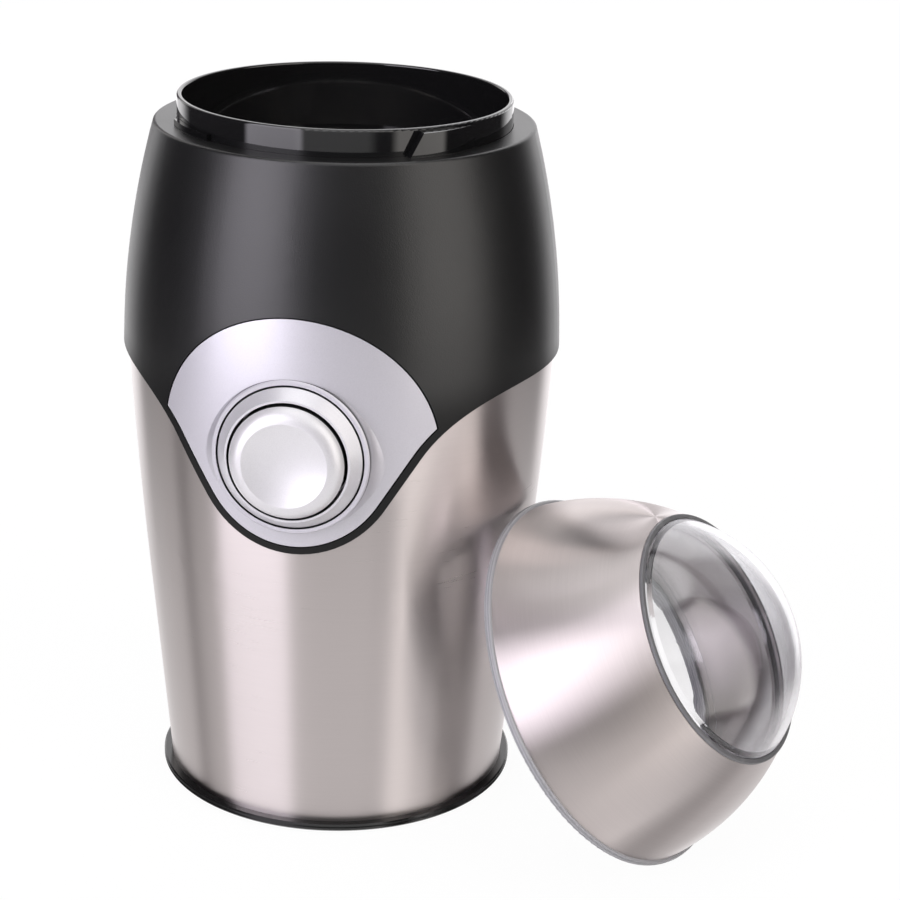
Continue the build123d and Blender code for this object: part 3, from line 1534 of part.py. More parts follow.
lid_rim_r = shoulder_r + lid_overhang
cover_r = lid_rim_r - rim_step
skirt_bore_r = lug_r + moving_gap
lean = math.radians(lid_lean)
azimuth = math.radians(lid_azimuth)
touch_z = 2 * lid_rim_r * math.cos(lean)
lid_distance = sleeve_r(touch_z) + moving_gap + lid_rim_r * math.sin(lean)
lid_outward = Vector(math.cos(azimuth), math.sin(azimuth), 0)
lid_origin = lid_outward * lid_distance + Vector(0, 0, lid_rim_r * math.cos(lean))
lid_up = lid_outward * math.cos(lean) + Vector(0, 0, math.sin(lean))
lid_down = lid_outward * math.sin(lean) - Vector(0, 0, math.cos(lean))
lid_plane = Plane(origin=lid_origin, x_dir=lid_down, z_dir=lid_up)
lid_profile_plane = Plane(origin=lid_origin, x_dir=lid_down, z_dir=lid_down.cross(lid_up))
lid_axis = Axis(lid_origin, lid_up)
neck_top = lid_height + dome_neck
dome_top = neck_top + dome_rise
liner_inset = cover_inset + fit
liner_top = lid_height - cover_wall - fit


def lid_cone(inset, top):
    """Solid inside the lid's bulged cone, moved in by inset and cut off at height top."""
    with BuildPart() as cone:
        with BuildSketch(lid_profile_plane):
            with BuildLine():
                flank_arc = SagittaArc(
                    (cover_r - inset, rim_wall), (window_rim_r - inset, lid_height), -cover_bulge
                )
                Polyline(flank_arc @ 1, (0, lid_height), (0, rim_wall), flank_arc @ 0)
            make_face()
        revolve(axis=lid_axis)
        split(bisect_by=lid_plane.offset(top), keep=Keep.BOTTOM)
    return cone.part


def lid_dome(radius, rise):
    """Solid spherical cap on the lid's neck."""
    with BuildPart() as cap:
        with BuildSketch(lid_profile_plane):
            with BuildLine():
                TangentArc((0, neck_top + rise), (radius, neck_top), tangent=(1, 0))
                Polyline((radius, neck_top), (0, neck_top), (0, neck_top + rise))
            make_face()
        revolve(axis=lid_axis)
    return cap.part


with BuildPart() as lid_cover:
    add(lid_cone(0, lid_height))
    add(lid_cone(cover_inset, lid_height - cover_wall), mode=Mode.SUBTRACT)
    with BuildSketch(lid_plane):
        Circle(window_r)
    extrude(amount=dome_top, mode=Mode.SUBTRACT)
finish(lid_cover, "lid_cover")

with BuildPart() as lid_liner:
    with BuildSketch(lid_plane):
        Circle(lid_rim_r)
    extrude(amount=rim_wall)
    fillet(lid_liner.edges().filter_by(GeomType.CIRCLE), rim_edge_r)
    add(lid_cone(liner_inset, liner_top))
    with BuildSketch(lid_plane.offset(rim_wall)):
        Circle(dome_r)
    extrude(amount=neck_top - rim_wall)
    add(lid_dome(dome_r, dome_rise))
    add(lid_cone(liner_inset + liner_wall, liner_top - liner_wall), mode=Mode.SUBTRACT)
    add(lid_dome(dome_r - dome_wall, dome_rise - dome_wall), mode=Mode.SUBTRACT)
    with BuildSketch(lid_plane.offset(rim_wall)):
        Circle(dome_r - dome_wall)
    extrude(amount=neck_top - rim_wall, mode=Mode.SUBTRACT)
    with BuildSketch(lid_plane):
        Circle(skirt_bore_r)
    extrude(amount=rim_wall, mode=Mode.SUBTRACT)
    with BuildSketch(lid_plane):
        Circle(skirt_bore_r + skirt_wall)
        Circle(skirt_bore_r, mode=Mode.SUBTRACT)
    extrude(amount=skirt_height)
finish(lid_liner, "lid_liner")

with BuildPart() as dome_ring:
    with BuildSketch(lid_plane.offset(lid_height)):
        Circle(dome_r + fit + dome_ring_width)
        Circle(dome_r + fit, mode=Mode.SUBTRACT)
    extrude(amount=dome_ring_height)
    fillet(dome_ring.edges().filter_by(GeomType.CIRCLE), 0.3)
finish(dome_ring, "dome_ring")
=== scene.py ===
"""Finishes, detail pieces, studio and camera for the electric spice grinder.

Metres and degrees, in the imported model's frame: +Z up, the origin on the body's axis in the
plane that it stands on, and the button facing -Y.
"""

from __future__ import annotations

import json
import logging
import math
from abc import ABC, abstractmethod
from dataclasses import dataclass
from enum import Enum
from typing import Any, Callable, Mapping, Sequence, Union

import bpy
from mathutils import Matrix, Vector

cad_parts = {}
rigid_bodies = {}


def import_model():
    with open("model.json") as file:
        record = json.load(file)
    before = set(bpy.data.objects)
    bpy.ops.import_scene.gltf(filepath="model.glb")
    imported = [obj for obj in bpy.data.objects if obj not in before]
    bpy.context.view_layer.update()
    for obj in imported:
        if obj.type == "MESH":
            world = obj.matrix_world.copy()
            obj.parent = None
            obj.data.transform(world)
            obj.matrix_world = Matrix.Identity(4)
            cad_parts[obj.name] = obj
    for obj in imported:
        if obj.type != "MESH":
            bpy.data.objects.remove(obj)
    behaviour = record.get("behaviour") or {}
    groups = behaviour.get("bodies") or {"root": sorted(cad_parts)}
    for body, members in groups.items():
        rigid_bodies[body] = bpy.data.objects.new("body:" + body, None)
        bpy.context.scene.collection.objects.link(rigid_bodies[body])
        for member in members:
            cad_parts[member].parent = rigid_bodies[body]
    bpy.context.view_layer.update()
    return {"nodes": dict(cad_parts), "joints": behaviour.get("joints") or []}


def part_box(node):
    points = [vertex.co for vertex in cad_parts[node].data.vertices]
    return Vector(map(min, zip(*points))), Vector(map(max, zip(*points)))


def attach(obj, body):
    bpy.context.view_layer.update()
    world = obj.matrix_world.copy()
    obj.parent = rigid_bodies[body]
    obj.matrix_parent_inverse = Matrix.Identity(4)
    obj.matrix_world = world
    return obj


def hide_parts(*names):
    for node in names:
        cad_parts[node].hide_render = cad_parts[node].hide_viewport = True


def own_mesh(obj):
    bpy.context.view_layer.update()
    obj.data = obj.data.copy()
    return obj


log = logging.getLogger("spice_grinder")

NOISE_MEAN = 0.5  # the number that noise lies round
PICK_SLACK = 0.00001  # metres by which a picked face may miss its place
SORT_FROM = (0.31, 0.17, 0.53)  # a point that is equally far from no two parts of a piece
WHITE = (1.0, 1.0, 1.0)
UP = Vector((0.0, 0.0, 1.0))
Colour = tuple[float, float, float]
Triple = tuple[float, float, float]


# ---- Shader graphs ----
class Wire:
    """A number that varies over a surface: one node output that takes Python arithmetic."""

    def __init__(self, graph: Graph, socket: bpy.types.NodeSocket) -> None:
        """Keep the graph and the output socket that carries the number."""
        self.graph = graph
        self.socket = socket

    def __add__(self, other: Number) -> Wire:
        """Sum."""
        return self.graph.math("ADD", self, other)

    def __radd__(self, other: Number) -> Wire:
        """Sum with a plain number on the left."""
        return self.graph.math("ADD", other, self)

    def __sub__(self, other: Number) -> Wire:
        """Difference."""
        return self.graph.math("SUBTRACT", self, other)

    def __rsub__(self, other: Number) -> Wire:
        """Difference from a plain number on the left."""
        return self.graph.math("SUBTRACT", other, self)

    def __mul__(self, other: Number) -> Wire:
        """Product."""
        return self.graph.math("MULTIPLY", self, other)

    def __rmul__(self, other: Number) -> Wire:
        """Product with a plain number on the left."""
        return self.graph.math("MULTIPLY", other, self)

    def step(self, low: float, high: float) -> Wire:
        """Ease from 0 where the number is low to 1 where it is high.

        Args:
            low: Number at which the result is 0. It may be the larger of the two.
            high: Number at which the result is 1.

        Returns:
            The eased number, held at 0 and 1 outside the two limits.
        """
        settings = {"interpolation_type": "SMOOTHSTEP"}
        inputs = {"Value": self, "From Min": low, "From Max": high}
        return self.graph.node("ShaderNodeMapRange", settings, inputs)["Result"]

    def above(self, limit: float, fade: float) -> Wire:
        """1 above a limit and 0 below it, eased over the fade on either side."""
        return self.step(limit - fade, limit + fade)

    def below(self, limit: float, fade: float) -> Wire:
        """1 below a limit and 0 above it, eased over the fade on either side."""
        return self.step(limit + fade, limit - fade)


Number = Union[float, Wire]


def _named(row: Sequence[bpy.types.NodeSocket], name: str) -> bpy.types.NodeSocket:
    """First socket in a row that has a name."""
    return next(socket for socket in row if socket.name == name)


class Outputs:
    """The outputs of one node, read by name as wires."""

    def __init__(self, graph: Graph, made: bpy.types.Node) -> None:
        """Keep the graph and the node."""
        self.graph = graph
        self.made = made

    def __getitem__(self, name: str) -> Wire:
        """Output in use that has the name."""
        row = [socket for socket in self.made.outputs if socket.enabled]
        return Wire(self.graph, _named(row, name))


class Graph:
    """The node tree of one material, or of the world, with short ways to add to it."""

    def __init__(self, tree: bpy.types.NodeTree) -> None:
        """Start from an empty tree."""
        self.tree = tree
        self.tree.nodes.clear()

    def node(self, kind: str, settings: Mapping[str, Any], inputs: Mapping[Any, Any]) -> Outputs:
        """Add one node.

        Args:
            kind: Node type, such as ShaderNodeTexNoise.
            settings: Properties that are set first.
            inputs: Values or wires for the input sockets in use, by their name or their place in
                the row.

        Returns:
            The node's outputs.
        """
        made = self.tree.nodes.new(kind)
        for name, value in settings.items():
            setattr(made, name, value)
        row = [socket for socket in made.inputs if socket.enabled]
        for key, value in inputs.items():
            self.feed(row[key] if isinstance(key, int) else _named(row, key), value)
        return Outputs(self, made)

    def feed(self, socket: bpy.types.NodeSocket, value: Any) -> None:
        """Link a wire to a socket, or set the socket's own value.

        Args:
            socket: Input socket to feed.
            value: A wire, a number, a vector or a colour of three numbers.
        """
        if isinstance(value, Wire):
            self.tree.links.new(value.socket, socket)
        elif socket.type == "RGBA":
            socket.default_value = (*value, 1.0)
        else:
            socket.default_value = value

    def math(self, operation: str, *values: Number) -> Wire:
        """Join one to three numbers with a Math node."""
        inputs = dict(enumerate(values))
        return self.node("ShaderNodeMath", {"operation": operation}, inputs)["Value"]

    def vector_math(self, operation: str, *values: Any) -> Outputs:
        """Join vectors, colours or wires with a Vector Math node."""
        inputs = dict(enumerate(values))
        return self.node("ShaderNodeVectorMath", {"operation": operation}, inputs)

    def mix(self, first: Any, second: Any, share: Number) -> Wire:
        """Blend two colours, the first where the share is 0 and the second where it is 1."""
        inputs = {"Factor": share, "A": first, "B": second}
        made = self.node("ShaderNodeMix", {"data_type": "RGBA", "clamp_factor": True}, inputs)
        return made["Result"]

    def spread(self, number: Number) -> Wire:
        """Vector with the same number on its three axes."""
        return self.node("ShaderNodeCombineXYZ", {}, dict.fromkeys("XYZ", number))["Vector"]

    def blend(self, first: Wire, second: Wire, share: Number) -> Wire:
        """Blend two shaders, the first where the share is 0 and the second where it is 1."""
        inputs = dict(enumerate((share, first, second)))
        return self.node("ShaderNodeMixShader", {}, inputs)["Shader"]

    def noise(
        self, place: Wire, scale: float, detail: float = 2.0, roughness: float = 0.5
    ) -> Wire:
        """Noise between 0 and 1.

        Args:
            place: Coordinates to read.
            scale: Patches per metre.
            detail: Octaves of finer noise.
            roughness: Strength of the finer octaves.

        Returns:
            The noise, which lies round NOISE_MEAN.
        """
        inputs = {"Vector": place, "Scale": scale, "Detail": detail, "Roughness": roughness}
        return self.node("ShaderNodeTexNoise", {}, inputs)["Fac"]

    def place(self) -> Wire:
        """Object coordinates."""
        return self.node("ShaderNodeTexCoord", {}, {})["Object"]

    def leaning_place(self, centre: Triple, lean: Triple) -> Wire:
        """Object coordinates, measured from a point and along an axis of their own.

        Args:
            centre: A point on the axis.
            lean: Turn from +Z to the axis, as Euler angles in radians.

        Returns:
            The coordinates, with the axis as Z.
        """
        settings = {"vector_type": "TEXTURE"}
        inputs = {"Vector": self.place(), "Location": centre, "Rotation": lean}
        return self.node("ShaderNodeMapping", settings, inputs)["Vector"]

    def stretched(self, place: Wire, across: float, along: float) -> Wire:
        """Coordinates with X and Y times one number, and Z times another."""
        return self.vector_math("MULTIPLY", place, (across, across, along))["Vector"]

    def part(self, vector: Wire, axis: str) -> Wire:
        """A vector's length along X, Y or Z."""
        return self.node("ShaderNodeSeparateXYZ", {}, {"Vector": vector})[axis]

    def relief(self, height: Number, depth: float) -> Wire:
        """Normal of a relief between 0 and 1, where 1 stands for a depth in metres."""
        inputs = {"Height": height, "Distance": depth, "Strength": 1.0}
        return self.node("ShaderNodeBump", {}, inputs)["Normal"]


# ---- Finishes ----
def scaled(colour: Colour, share: float) -> Colour:
    """A colour times a number."""
    return tuple(share * channel for channel in colour)


@dataclass(frozen=True)
class Finish(ABC):
    """How one kind of surface looks.

    Attributes:
        name: The material's name.
        colour: Main colour, linear.
        roughness: Main roughness.
    """

    name: str
    colour: Colour
    roughness: float

    def material(self) -> bpy.types.Material:
        """The finish's material, made the first time it is asked for."""
        made = bpy.data.materials.get(self.name)
        if made is None:
            made = bpy.data.materials.new(self.name)
            made.use_nodes = True
            graph = Graph(made.node_tree)
            graph.node("ShaderNodeOutputMaterial", {}, {"Surface": self.surface(graph)})
        return made

    def surface(self, graph: Graph) -> Wire:
        """The finish's shader."""
        return graph.node("ShaderNodeBsdfPrincipled", {}, self.sockets(graph))["BSDF"]

    def uneven(self, *marks: tuple[Wire, float]) -> Wire:
        """Roughness that wanders with some noises.

        Args:
            marks: Each noise, with how much it changes the roughness.

        Returns:
            The roughness.
        """
        rough: Any = self.roughness
        for noise, amount in marks:
            rough = rough + amount * (noise - NOISE_MEAN)
        return rough

    @abstractmethod
    def sockets(self, graph: Graph) -> dict[str, Any]:
        """Values and wires for the shader's sockets.

        Args:
            graph: The material's graph.

        Returns:
            Socket names with what feeds them.
        """


@dataclass(frozen=True)
class MouldedPlastic(Finish):
    """Moulded plastic with a spark-eroded grain.

    Attributes:
        grain: Grains per metre.
        grain_depth: Height of the grain.
        grain_share: Weight of the grain beside that of the clouds.
        contrast: Ratio of the lightest colour to the main one, and of that to the darkest.
        mottle: How much the roughness wanders over the surface.
        specular: Strength of the plain reflection.
        polished_above: Height above which the mould is polished instead of grained.
        polish: Roughness of the polished part.
        polish_fade: Height over which the polish sets in, on either side.
        dull_below: Height below which the plastic is duller.
        dullness: How much duller it is there.
        dull_fade: Height over which the dullness sets in, on either side.
    """

    grain: float = 3200.0
    grain_depth: float = 0.00002
    grain_share: float = 0.3
    contrast: float = 1.25
    mottle: float = 0.06
    specular: float = 0.5
    polished_above: float = 1.0
    polish: float = 0.07
    polish_fade: float = 0.0002
    dull_below: float = 0.0
    dullness: float = 0.0
    dull_fade: float = 0.006

    def surface(self, graph: Graph) -> Wire:
        """Grained plastic, duller where it is low; see Finish.surface."""
        plain = super().surface(graph)
        if self.dullness == 0.0:
            return plain
        dull = graph.node("ShaderNodeBsdfDiffuse", {}, {"Color": self.colour})["BSDF"]
        low = graph.part(graph.place(), "Z").below(self.dull_below, self.dull_fade)
        return graph.blend(plain, dull, low * self.dullness)

    def sockets(self, graph: Graph) -> dict[str, Any]:
        """Grained plastic; see Finish.sockets."""
        place = graph.place()
        grain = graph.noise(place, self.grain, detail=1.0)
        cloud = graph.noise(place, scale=45.0, detail=3.0)
        grained = graph.part(place, "Z").below(self.polished_above, self.polish_fade)
        dark = scaled(self.colour, 1.0 / self.contrast)
        light = scaled(self.colour, self.contrast)
        share = (1.0 - self.grain_share) * cloud + self.grain_share * grain
        rough = self.uneven((cloud, self.mottle), (grain, self.grain_share * self.mottle))
        return {
            "Base Color": graph.mix(dark, light, share),
            "Roughness": self.polish + grained * (rough - self.polish),
            "Specular IOR Level": self.specular,
            "Normal": graph.relief(grain * grained, self.grain_depth),
        }


@dataclass(frozen=True)
class BrushedSteel(Finish):
    """Sheet steel with hairlines that run round an axis.

    Attributes:
        shade: Colour between the hairlines.
        hairlines: Hairlines per metre across the brushing.
        hairline_length: Metres along the brushing.
        relief_depth: Depth of the hairlines.
        anisotropy: Stretch of the highlights across the hairlines.
        turn: Turns of the stretch, 0.25 for hairlines round the vertical axis.
        coarse: How much wider the coarse hairlines are than the fine ones, at twice the length.
        coarse_share: Weight of the coarse hairlines beside the fine ones.
        centre: A point on the brushing's axis.
        lean: Turn from +Z to the brushing's axis, as Euler angles in radians.
    """

    shade: Colour = (0.5, 0.49, 0.48)
    hairlines: float = 4200.0
    hairline_length: float = 0.012
    relief_depth: float = 0.0000002
    anisotropy: float = 0.0
    turn: float = 0.25
    coarse: float = 2.5
    coarse_share: float = 0.25
    centre: Triple = (0.0, 0.0, 0.0)
    lean: Triple = (0.0, 0.0, 0.0)

    def sockets(self, graph: Graph) -> dict[str, Any]:
        """Brushed steel; see Finish.sockets."""
        place = graph.leaning_place(self.centre, self.lean)
        along = 1.0 / self.hairline_length
        fine = self._hairline(graph, place, along, self.hairlines)
        coarse = self._hairline(graph, place, along / 2, self.hairlines / self.coarse)
        cloud = graph.noise(place, scale=22.0)
        streak = (1.0 - self.coarse_share) * fine + self.coarse_share * coarse
        return {
            "Base Color": graph.mix(self.shade, self.colour, streak.step(low=0.25, high=0.7)),
            "Metallic": 1.0,
            "Roughness": self.uneven((streak, 0.025), (cloud, 0.02)),
            "Anisotropic": self.anisotropy,
            "Anisotropic Rotation": self.turn,
            "Normal": graph.relief(streak, self.relief_depth),
        }

    @staticmethod
    def _hairline(graph: Graph, place: Wire, along: float, across: float) -> Wire:
        """Hairlines between 0 and 1, so many per metre along the brushing and across it."""
        return graph.noise(graph.stretched(place, along, across), scale=1.0, roughness=0.6)


@dataclass(frozen=True)
class Metal(Finish):
    """Plain, turned, cast or drawn metal.

    Attributes:
        grain: Marks per metre.
        grain_depth: Height of the marks.
        stretch: How much longer the marks are across Z than along it.
        stain: How much the colour darkens in patches.
    """

    grain: float = 1500.0
    grain_depth: float = 0.00001
    stretch: float = 1.0
    stain: float = 0.2

    def sockets(self, graph: Graph) -> dict[str, Any]:
        """Metal with fine marks; see Finish.sockets."""
        place = graph.place()
        marks = graph.noise(graph.stretched(place, 1.0 / self.stretch, 1.0), self.grain)
        patches = graph.noise(place, scale=120.0, detail=3.0)
        stained = scaled(self.colour, 1.0 - self.stain)
        return {
            "Base Color": graph.mix(stained, self.colour, patches.step(low=0.35, high=0.6)),
            "Metallic": 1.0,
            "Roughness": self.uneven((marks, 0.12), (patches, 0.08)),
            "Normal": graph.relief(marks, self.grain_depth),
        }


@dataclass(frozen=True)
class SilverLacquer(Finish):
    """Silver lacquer on a moulding, with fine metal flakes under a clear coat.

    Attributes:
        metallic: Share of the look that is metal.
        flake: Flakes per metre.
        coat: Weight of the clear coat.
        painted_gap_shade: Dark colour put on the side walls as painted shade, standing for the
            shadow in the gaps round the button, its bezel and the panel.
    """

    metallic: float = 0.55
    flake: float = 5200.0
    coat: float = 0.25
    painted_gap_shade: Colour = (0.012, 0.012, 0.013)

    def sockets(self, graph: Graph) -> dict[str, Any]:
        """Flaked lacquer on faces that look along Y, with painted shade on the side walls; see
        Finish.sockets.
        """
        place = graph.place()
        flakes = graph.noise(place, self.flake, detail=0.0)
        cloud = graph.noise(place, scale=60.0)
        dark = scaled(self.colour, 0.95)
        lacquer = graph.mix(dark, self.colour, flakes.step(low=0.3, high=0.62))
        # Faces that look across Y, the walls of the gaps, get a painted shade in place of the
        # lacquer.
        facing = graph.node("ShaderNodeNewGeometry", {}, {})["True Normal"]
        unshaded_front = graph.math("ABSOLUTE", graph.part(facing, "Y")).step(low=0.08, high=0.3)
        return {
            "Base Color": graph.mix(self.painted_gap_shade, lacquer, unshaded_front),
            "Metallic": self.metallic * unshaded_front,
            "Roughness": self.uneven((flakes, 0.04), (cloud, 0.03)),
            "Coat Weight": self.coat,
            "Coat Roughness": 0.12,
            "Normal": graph.relief(flakes, depth=0.000001),
        }


@dataclass(frozen=True)
class ClearPlastic(Finish):
    """Clear moulding with a frosted rim, and a painted sheen where it is seen at a slant.

    Attributes:
        index: Index of refraction.
        scuffs: Fine rubbing marks per metre.
        frosted_below: Height along the moulding's axis under which it is frosted.
        frost: Colour of the frosted part.
        slant_sheen: Grey of the painted sheen that shows where the clear part is seen at a slant.
        slant_sheen_share: The painted sheen's greatest share.
        rings: Turning marks per metre on the frosted part.
        centre: A point on the moulding's axis, from which its heights count.
        lean: Turn from +Z to the axis, as Euler angles in radians.
    """

    index: float = 1.49
    scuffs: float = 900.0
    frosted_below: float = 0.0024
    frost: Colour = (0.4, 0.4, 0.42)
    slant_sheen: Colour = (0.55, 0.54, 0.57)
    slant_sheen_share: float = 0.6
    rings: float = 1600.0
    centre: Triple = (0.0, 0.0, 0.0)
    lean: Triple = (0.0, 0.0, 0.0)

    def surface(self, graph: Graph) -> Wire:
        """Clear and frosted plastic, with a painted sheen at a slant; see Finish.surface."""
        height = graph.part(graph.leaning_place(self.centre, self.lean), "Z")
        rings = graph.math("PINGPONG", height * self.rings, 0.5).step(low=0.1, high=0.4)
        mist = {
            "Base Color": graph.mix(scaled(self.frost, 0.7), self.frost, rings),
            "Roughness": 0.38,
            "Transmission Weight": 0.25,
            "Normal": graph.relief(rings, depth=0.00004),
        }
        frosted = graph.node("ShaderNodeBsdfPrincipled", {}, mist)["BSDF"]
        # A grey diffuse veil, stronger at a slant, is a painted sheen for the bright rim of the
        # dome.
        slant = graph.node("ShaderNodeLayerWeight", {}, {"Blend": 0.5})["Facing"]
        slant_sheen = graph.node("ShaderNodeBsdfDiffuse", {}, {"Color": self.slant_sheen})["BSDF"]
        sheen_share = slant.step(low=0.3, high=1.0) * self.slant_sheen_share
        clear = graph.blend(super().surface(graph), slant_sheen, sheen_share)
        return graph.blend(clear, frosted, height.below(self.frosted_below, fade=0.0003))

    def sockets(self, graph: Graph) -> dict[str, Any]:
        """Clear plastic with faint scuffs; see Finish.sockets."""
        scuffs = graph.noise(graph.place(), self.scuffs, detail=3.0)
        return {
            "Base Color": self.colour,
            "Roughness": self.roughness + 0.05 * scuffs.step(low=0.62, high=0.8),
            "IOR": self.index,
            "Transmission Weight": 1.0,
            "Normal": graph.relief(scuffs.step(low=0.6, high=0.75), depth=0.0000015),
        }


@dataclass(frozen=True)
class Rubber(Finish):
    """Moulded rubber with a dusty bloom.

    Attributes:
        bloom: Colour of the dust.
    """

    bloom: Colour = (0.06, 0.06, 0.06)

    def sockets(self, graph: Graph) -> dict[str, Any]:
        """Rubber; see Finish.sockets."""
        place = graph.place()
        dust = graph.noise(place, scale=260.0, detail=4.0)
        pores = graph.noise(place, scale=4200.0, detail=1.0)
        return {
            "Base Color": graph.mix(self.colour, self.bloom, dust.step(low=0.5, high=0.85)),
            "Roughness": self.uneven((dust, 0.15)),
            "Specular IOR Level": 0.35,
            "Normal": graph.relief(pores, depth=0.00003),
        }


@dataclass(frozen=True)
class WoundWire(Finish):
    """Enamelled copper wire in a winding, impregnated with varnish.

    Attributes:
        gap_colour: Colour of the varnish between the wires.
        wires: Wires per metre.
        lay: Marks along a wire for each one across it.
    """

    gap_colour: Colour = (0.12, 0.03, 0.01)
    wires: float = 1900.0
    lay: float = 0.12

    def sockets(self, graph: Graph) -> dict[str, Any]:
        """Wound wire; see Finish.sockets."""
        place = graph.place()
        strands = graph.noise(graph.stretched(place, 1.0, self.lay), self.wires, detail=0.0)
        varnish = graph.noise(place, scale=150.0)
        shown = strands.step(low=0.35, high=0.6)
        return {
            "Base Color": graph.mix(self.gap_colour, self.colour, shown),
            "Metallic": 0.85,
            "Roughness": self.uneven((varnish, 0.15)),
            "Coat Weight": 0.6 * varnish,
            "Coat Roughness": 0.15,
            "Normal": graph.relief(strands, depth=0.00012),
        }


@dataclass(frozen=True)
class LaminatedIron(Finish):
    """Stack of stamped iron sheets.

    Attributes:
        sheets: Sheets per metre along Z.
        scale_colour: Colour of the blue scale on the sheets' edges.
    """

    sheets: float = 2000.0
    scale_colour: Colour = (0.05, 0.055, 0.075)

    def sockets(self, graph: Graph) -> dict[str, Any]:
        """Laminated iron; see Finish.sockets."""
        place = graph.place()
        height = graph.part(place, "Z") * self.sheets
        edges = graph.math("PINGPONG", height, 0.5).step(low=0.06, high=0.2)
        scale = graph.noise(place, scale=300.0, detail=3.0)
        bright = scale.step(low=0.4, high=0.62)
        return {
            "Base Color": graph.mix(self.scale_colour, self.colour, bright),
            "Metallic": 0.9,
            "Roughness": self.uneven((scale, 0.2)),
            "Normal": graph.relief(edges, depth=0.00008),
        }


class Palette(Enum):
    """The grinder's finishes."""

    SATIN_BLACK = MouldedPlastic(
        "satin black",
        (0.0045, 0.0045, 0.0048),
        0.35,
        polished_above=0.1575,
        dull_below=0.106,
        dullness=0.55,
    )
    GLOSS_BLACK = MouldedPlastic(
        "gloss black", (0.006, 0.006, 0.0063), 0.05, grain_depth=0.000001, mottle=0.02
    )
    BASE_BLACK = MouldedPlastic("base black", (0.006, 0.006, 0.006), 0.2, grain_depth=0.000004)
    MOULDED_BLACK = MouldedPlastic("moulded black", (0.012, 0.012, 0.012), 0.45)
    FAN_PLASTIC = MouldedPlastic("fan plastic", (0.42, 0.4, 0.34), 0.4)
    SWITCH_GREY = MouldedPlastic("switch grey", (0.09, 0.09, 0.095), 0.42)
    SWITCH_RED = MouldedPlastic("switch red", (0.45, 0.02, 0.015), 0.3)
    SLEEVE_STEEL = BrushedSteel(
        "brushed steel",
        (0.532, 0.487, 0.482),
        0.28,
        shade=(0.518, 0.475, 0.47),
        anisotropy=0.93,
    )
    BOWL_STEEL = BrushedSteel("bowl steel", (0.62, 0.61, 0.6), 0.18, anisotropy=0.5)
    BLADE_STEEL = Metal("blade steel", (0.66, 0.65, 0.64), 0.16, grain=2400.0)
    SHAFT_STEEL = Metal("shaft steel", (0.55, 0.54, 0.53), 0.24, stretch=8.0)
    ZINC_STEEL = Metal("zinc steel", (0.62, 0.64, 0.66), 0.3, stain=0.3)
    SPRING_STEEL = Metal("spring steel", (0.42, 0.41, 0.4), 0.28)
    CAST_ALUMINIUM = Metal(
        "cast aluminium", (0.6, 0.6, 0.61), 0.5, grain=1100.0, grain_depth=0.00006
    )
    COMMUTATOR_COPPER = Metal(
        "commutator copper", (0.72, 0.36, 0.22), 0.22, stretch=10.0, stain=0.5
    )
    BRONZE = Metal("bronze", (0.5, 0.32, 0.14), 0.42, grain_depth=0.00003, stain=0.4)
    BRASS_SHEET = Metal("brass sheet", (0.72, 0.52, 0.22), 0.28, stain=0.3)
    CARBON = MouldedPlastic("carbon", (0.02, 0.02, 0.021), 0.5, grain_depth=0.00004)
    PANEL_SILVER = SilverLacquer("panel silver", (0.51, 0.5, 0.54), 0.45)
    BEZEL_SILVER = SilverLacquer(
        "bezel silver", (0.58, 0.575, 0.6), 0.38, metallic=0.45, coat=0.2
    )
    BUTTON_SILVER = SilverLacquer(
        "button silver", (0.6, 0.595, 0.61), 0.4, metallic=0.4, coat=0.15
    )
    COPPER_WIRE = WoundWire("copper wire", (0.6, 0.2, 0.07), 0.35)
    LAMINATION_IRON = LaminatedIron("lamination iron", (0.3, 0.29, 0.28), 0.45)
    SOFT_RUBBER = Rubber("soft rubber", (0.018, 0.018, 0.018), 0.7)
    FOOT_RUBBER = Rubber("foot rubber", (0.013, 0.013, 0.013), 0.65)
    GREY_GASKET = Rubber("grey gasket", (0.12, 0.12, 0.125), 0.42, bloom=(0.17, 0.17, 0.175))

    def material(self) -> bpy.types.Material:
        """The finish's material."""
        return self.value.material()


# ---- Modelling ----
def pick(*pieces: bpy.types.Object) -> None:
    """Select only these objects, the first of them as the active one.

    Args:
        pieces: The objects.
    """
    bpy.ops.object.select_all(action="DESELECT")
    for piece in pieces:
        piece.select_set(True)
    bpy.context.view_layer.objects.active = pieces[0]


def settle(piece: bpy.types.Object) -> None:
    """Move a piece's place, turn and scale into its mesh."""
    pick(piece)
    bpy.ops.object.transform_apply(location=True, rotation=True, scale=True)


def start(add: Callable[..., Any], **settings: Any) -> bpy.types.Object:
    """Add one primitive as the start of a piece.

    Args:
        add: The operator that adds it.
        settings: Its size, place and turn.

    Returns:
        The new object, with its place in its mesh.
    """
    bpy.ops.object.select_all(action="DESELECT")
    add(**settings)
    made = bpy.context.object
    settle(made)
    return made


def pick_faces(piece: bpy.types.Object, along: Vector, least: float) -> None:
    """Select the faces whose middle lies far enough along a direction, and start editing.

    Args:
        piece: The object, which is left in edit mode.
        along: The direction.
        least: Distance from the origin along it from which faces are selected.
    """
    pick(piece)
    bpy.ops.object.mode_set(mode="EDIT")
    bpy.ops.mesh.select_mode(type="FACE")
    bpy.ops.mesh.select_all(action="DESELECT")
    bpy.ops.object.mode_set(mode="OBJECT")
    for face in piece.data.polygons:
        face.select = face.center.dot(along) >= least
    bpy.ops.object.mode_set(mode="EDIT")


def apply_modifier(piece: bpy.types.Object, kind: str, settings: Mapping[str, Any]) -> None:
    """Add one modifier to a piece and apply it.

    Args:
        piece: The piece.
        kind: The modifier's type.
        settings: The modifier's properties.
    """
    pick(piece)
    made = piece.modifiers.new(kind.lower(), kind)
    for name, value in settings.items():
        setattr(made, name, value)
    bpy.ops.object.modifier_apply(modifier=made.name)


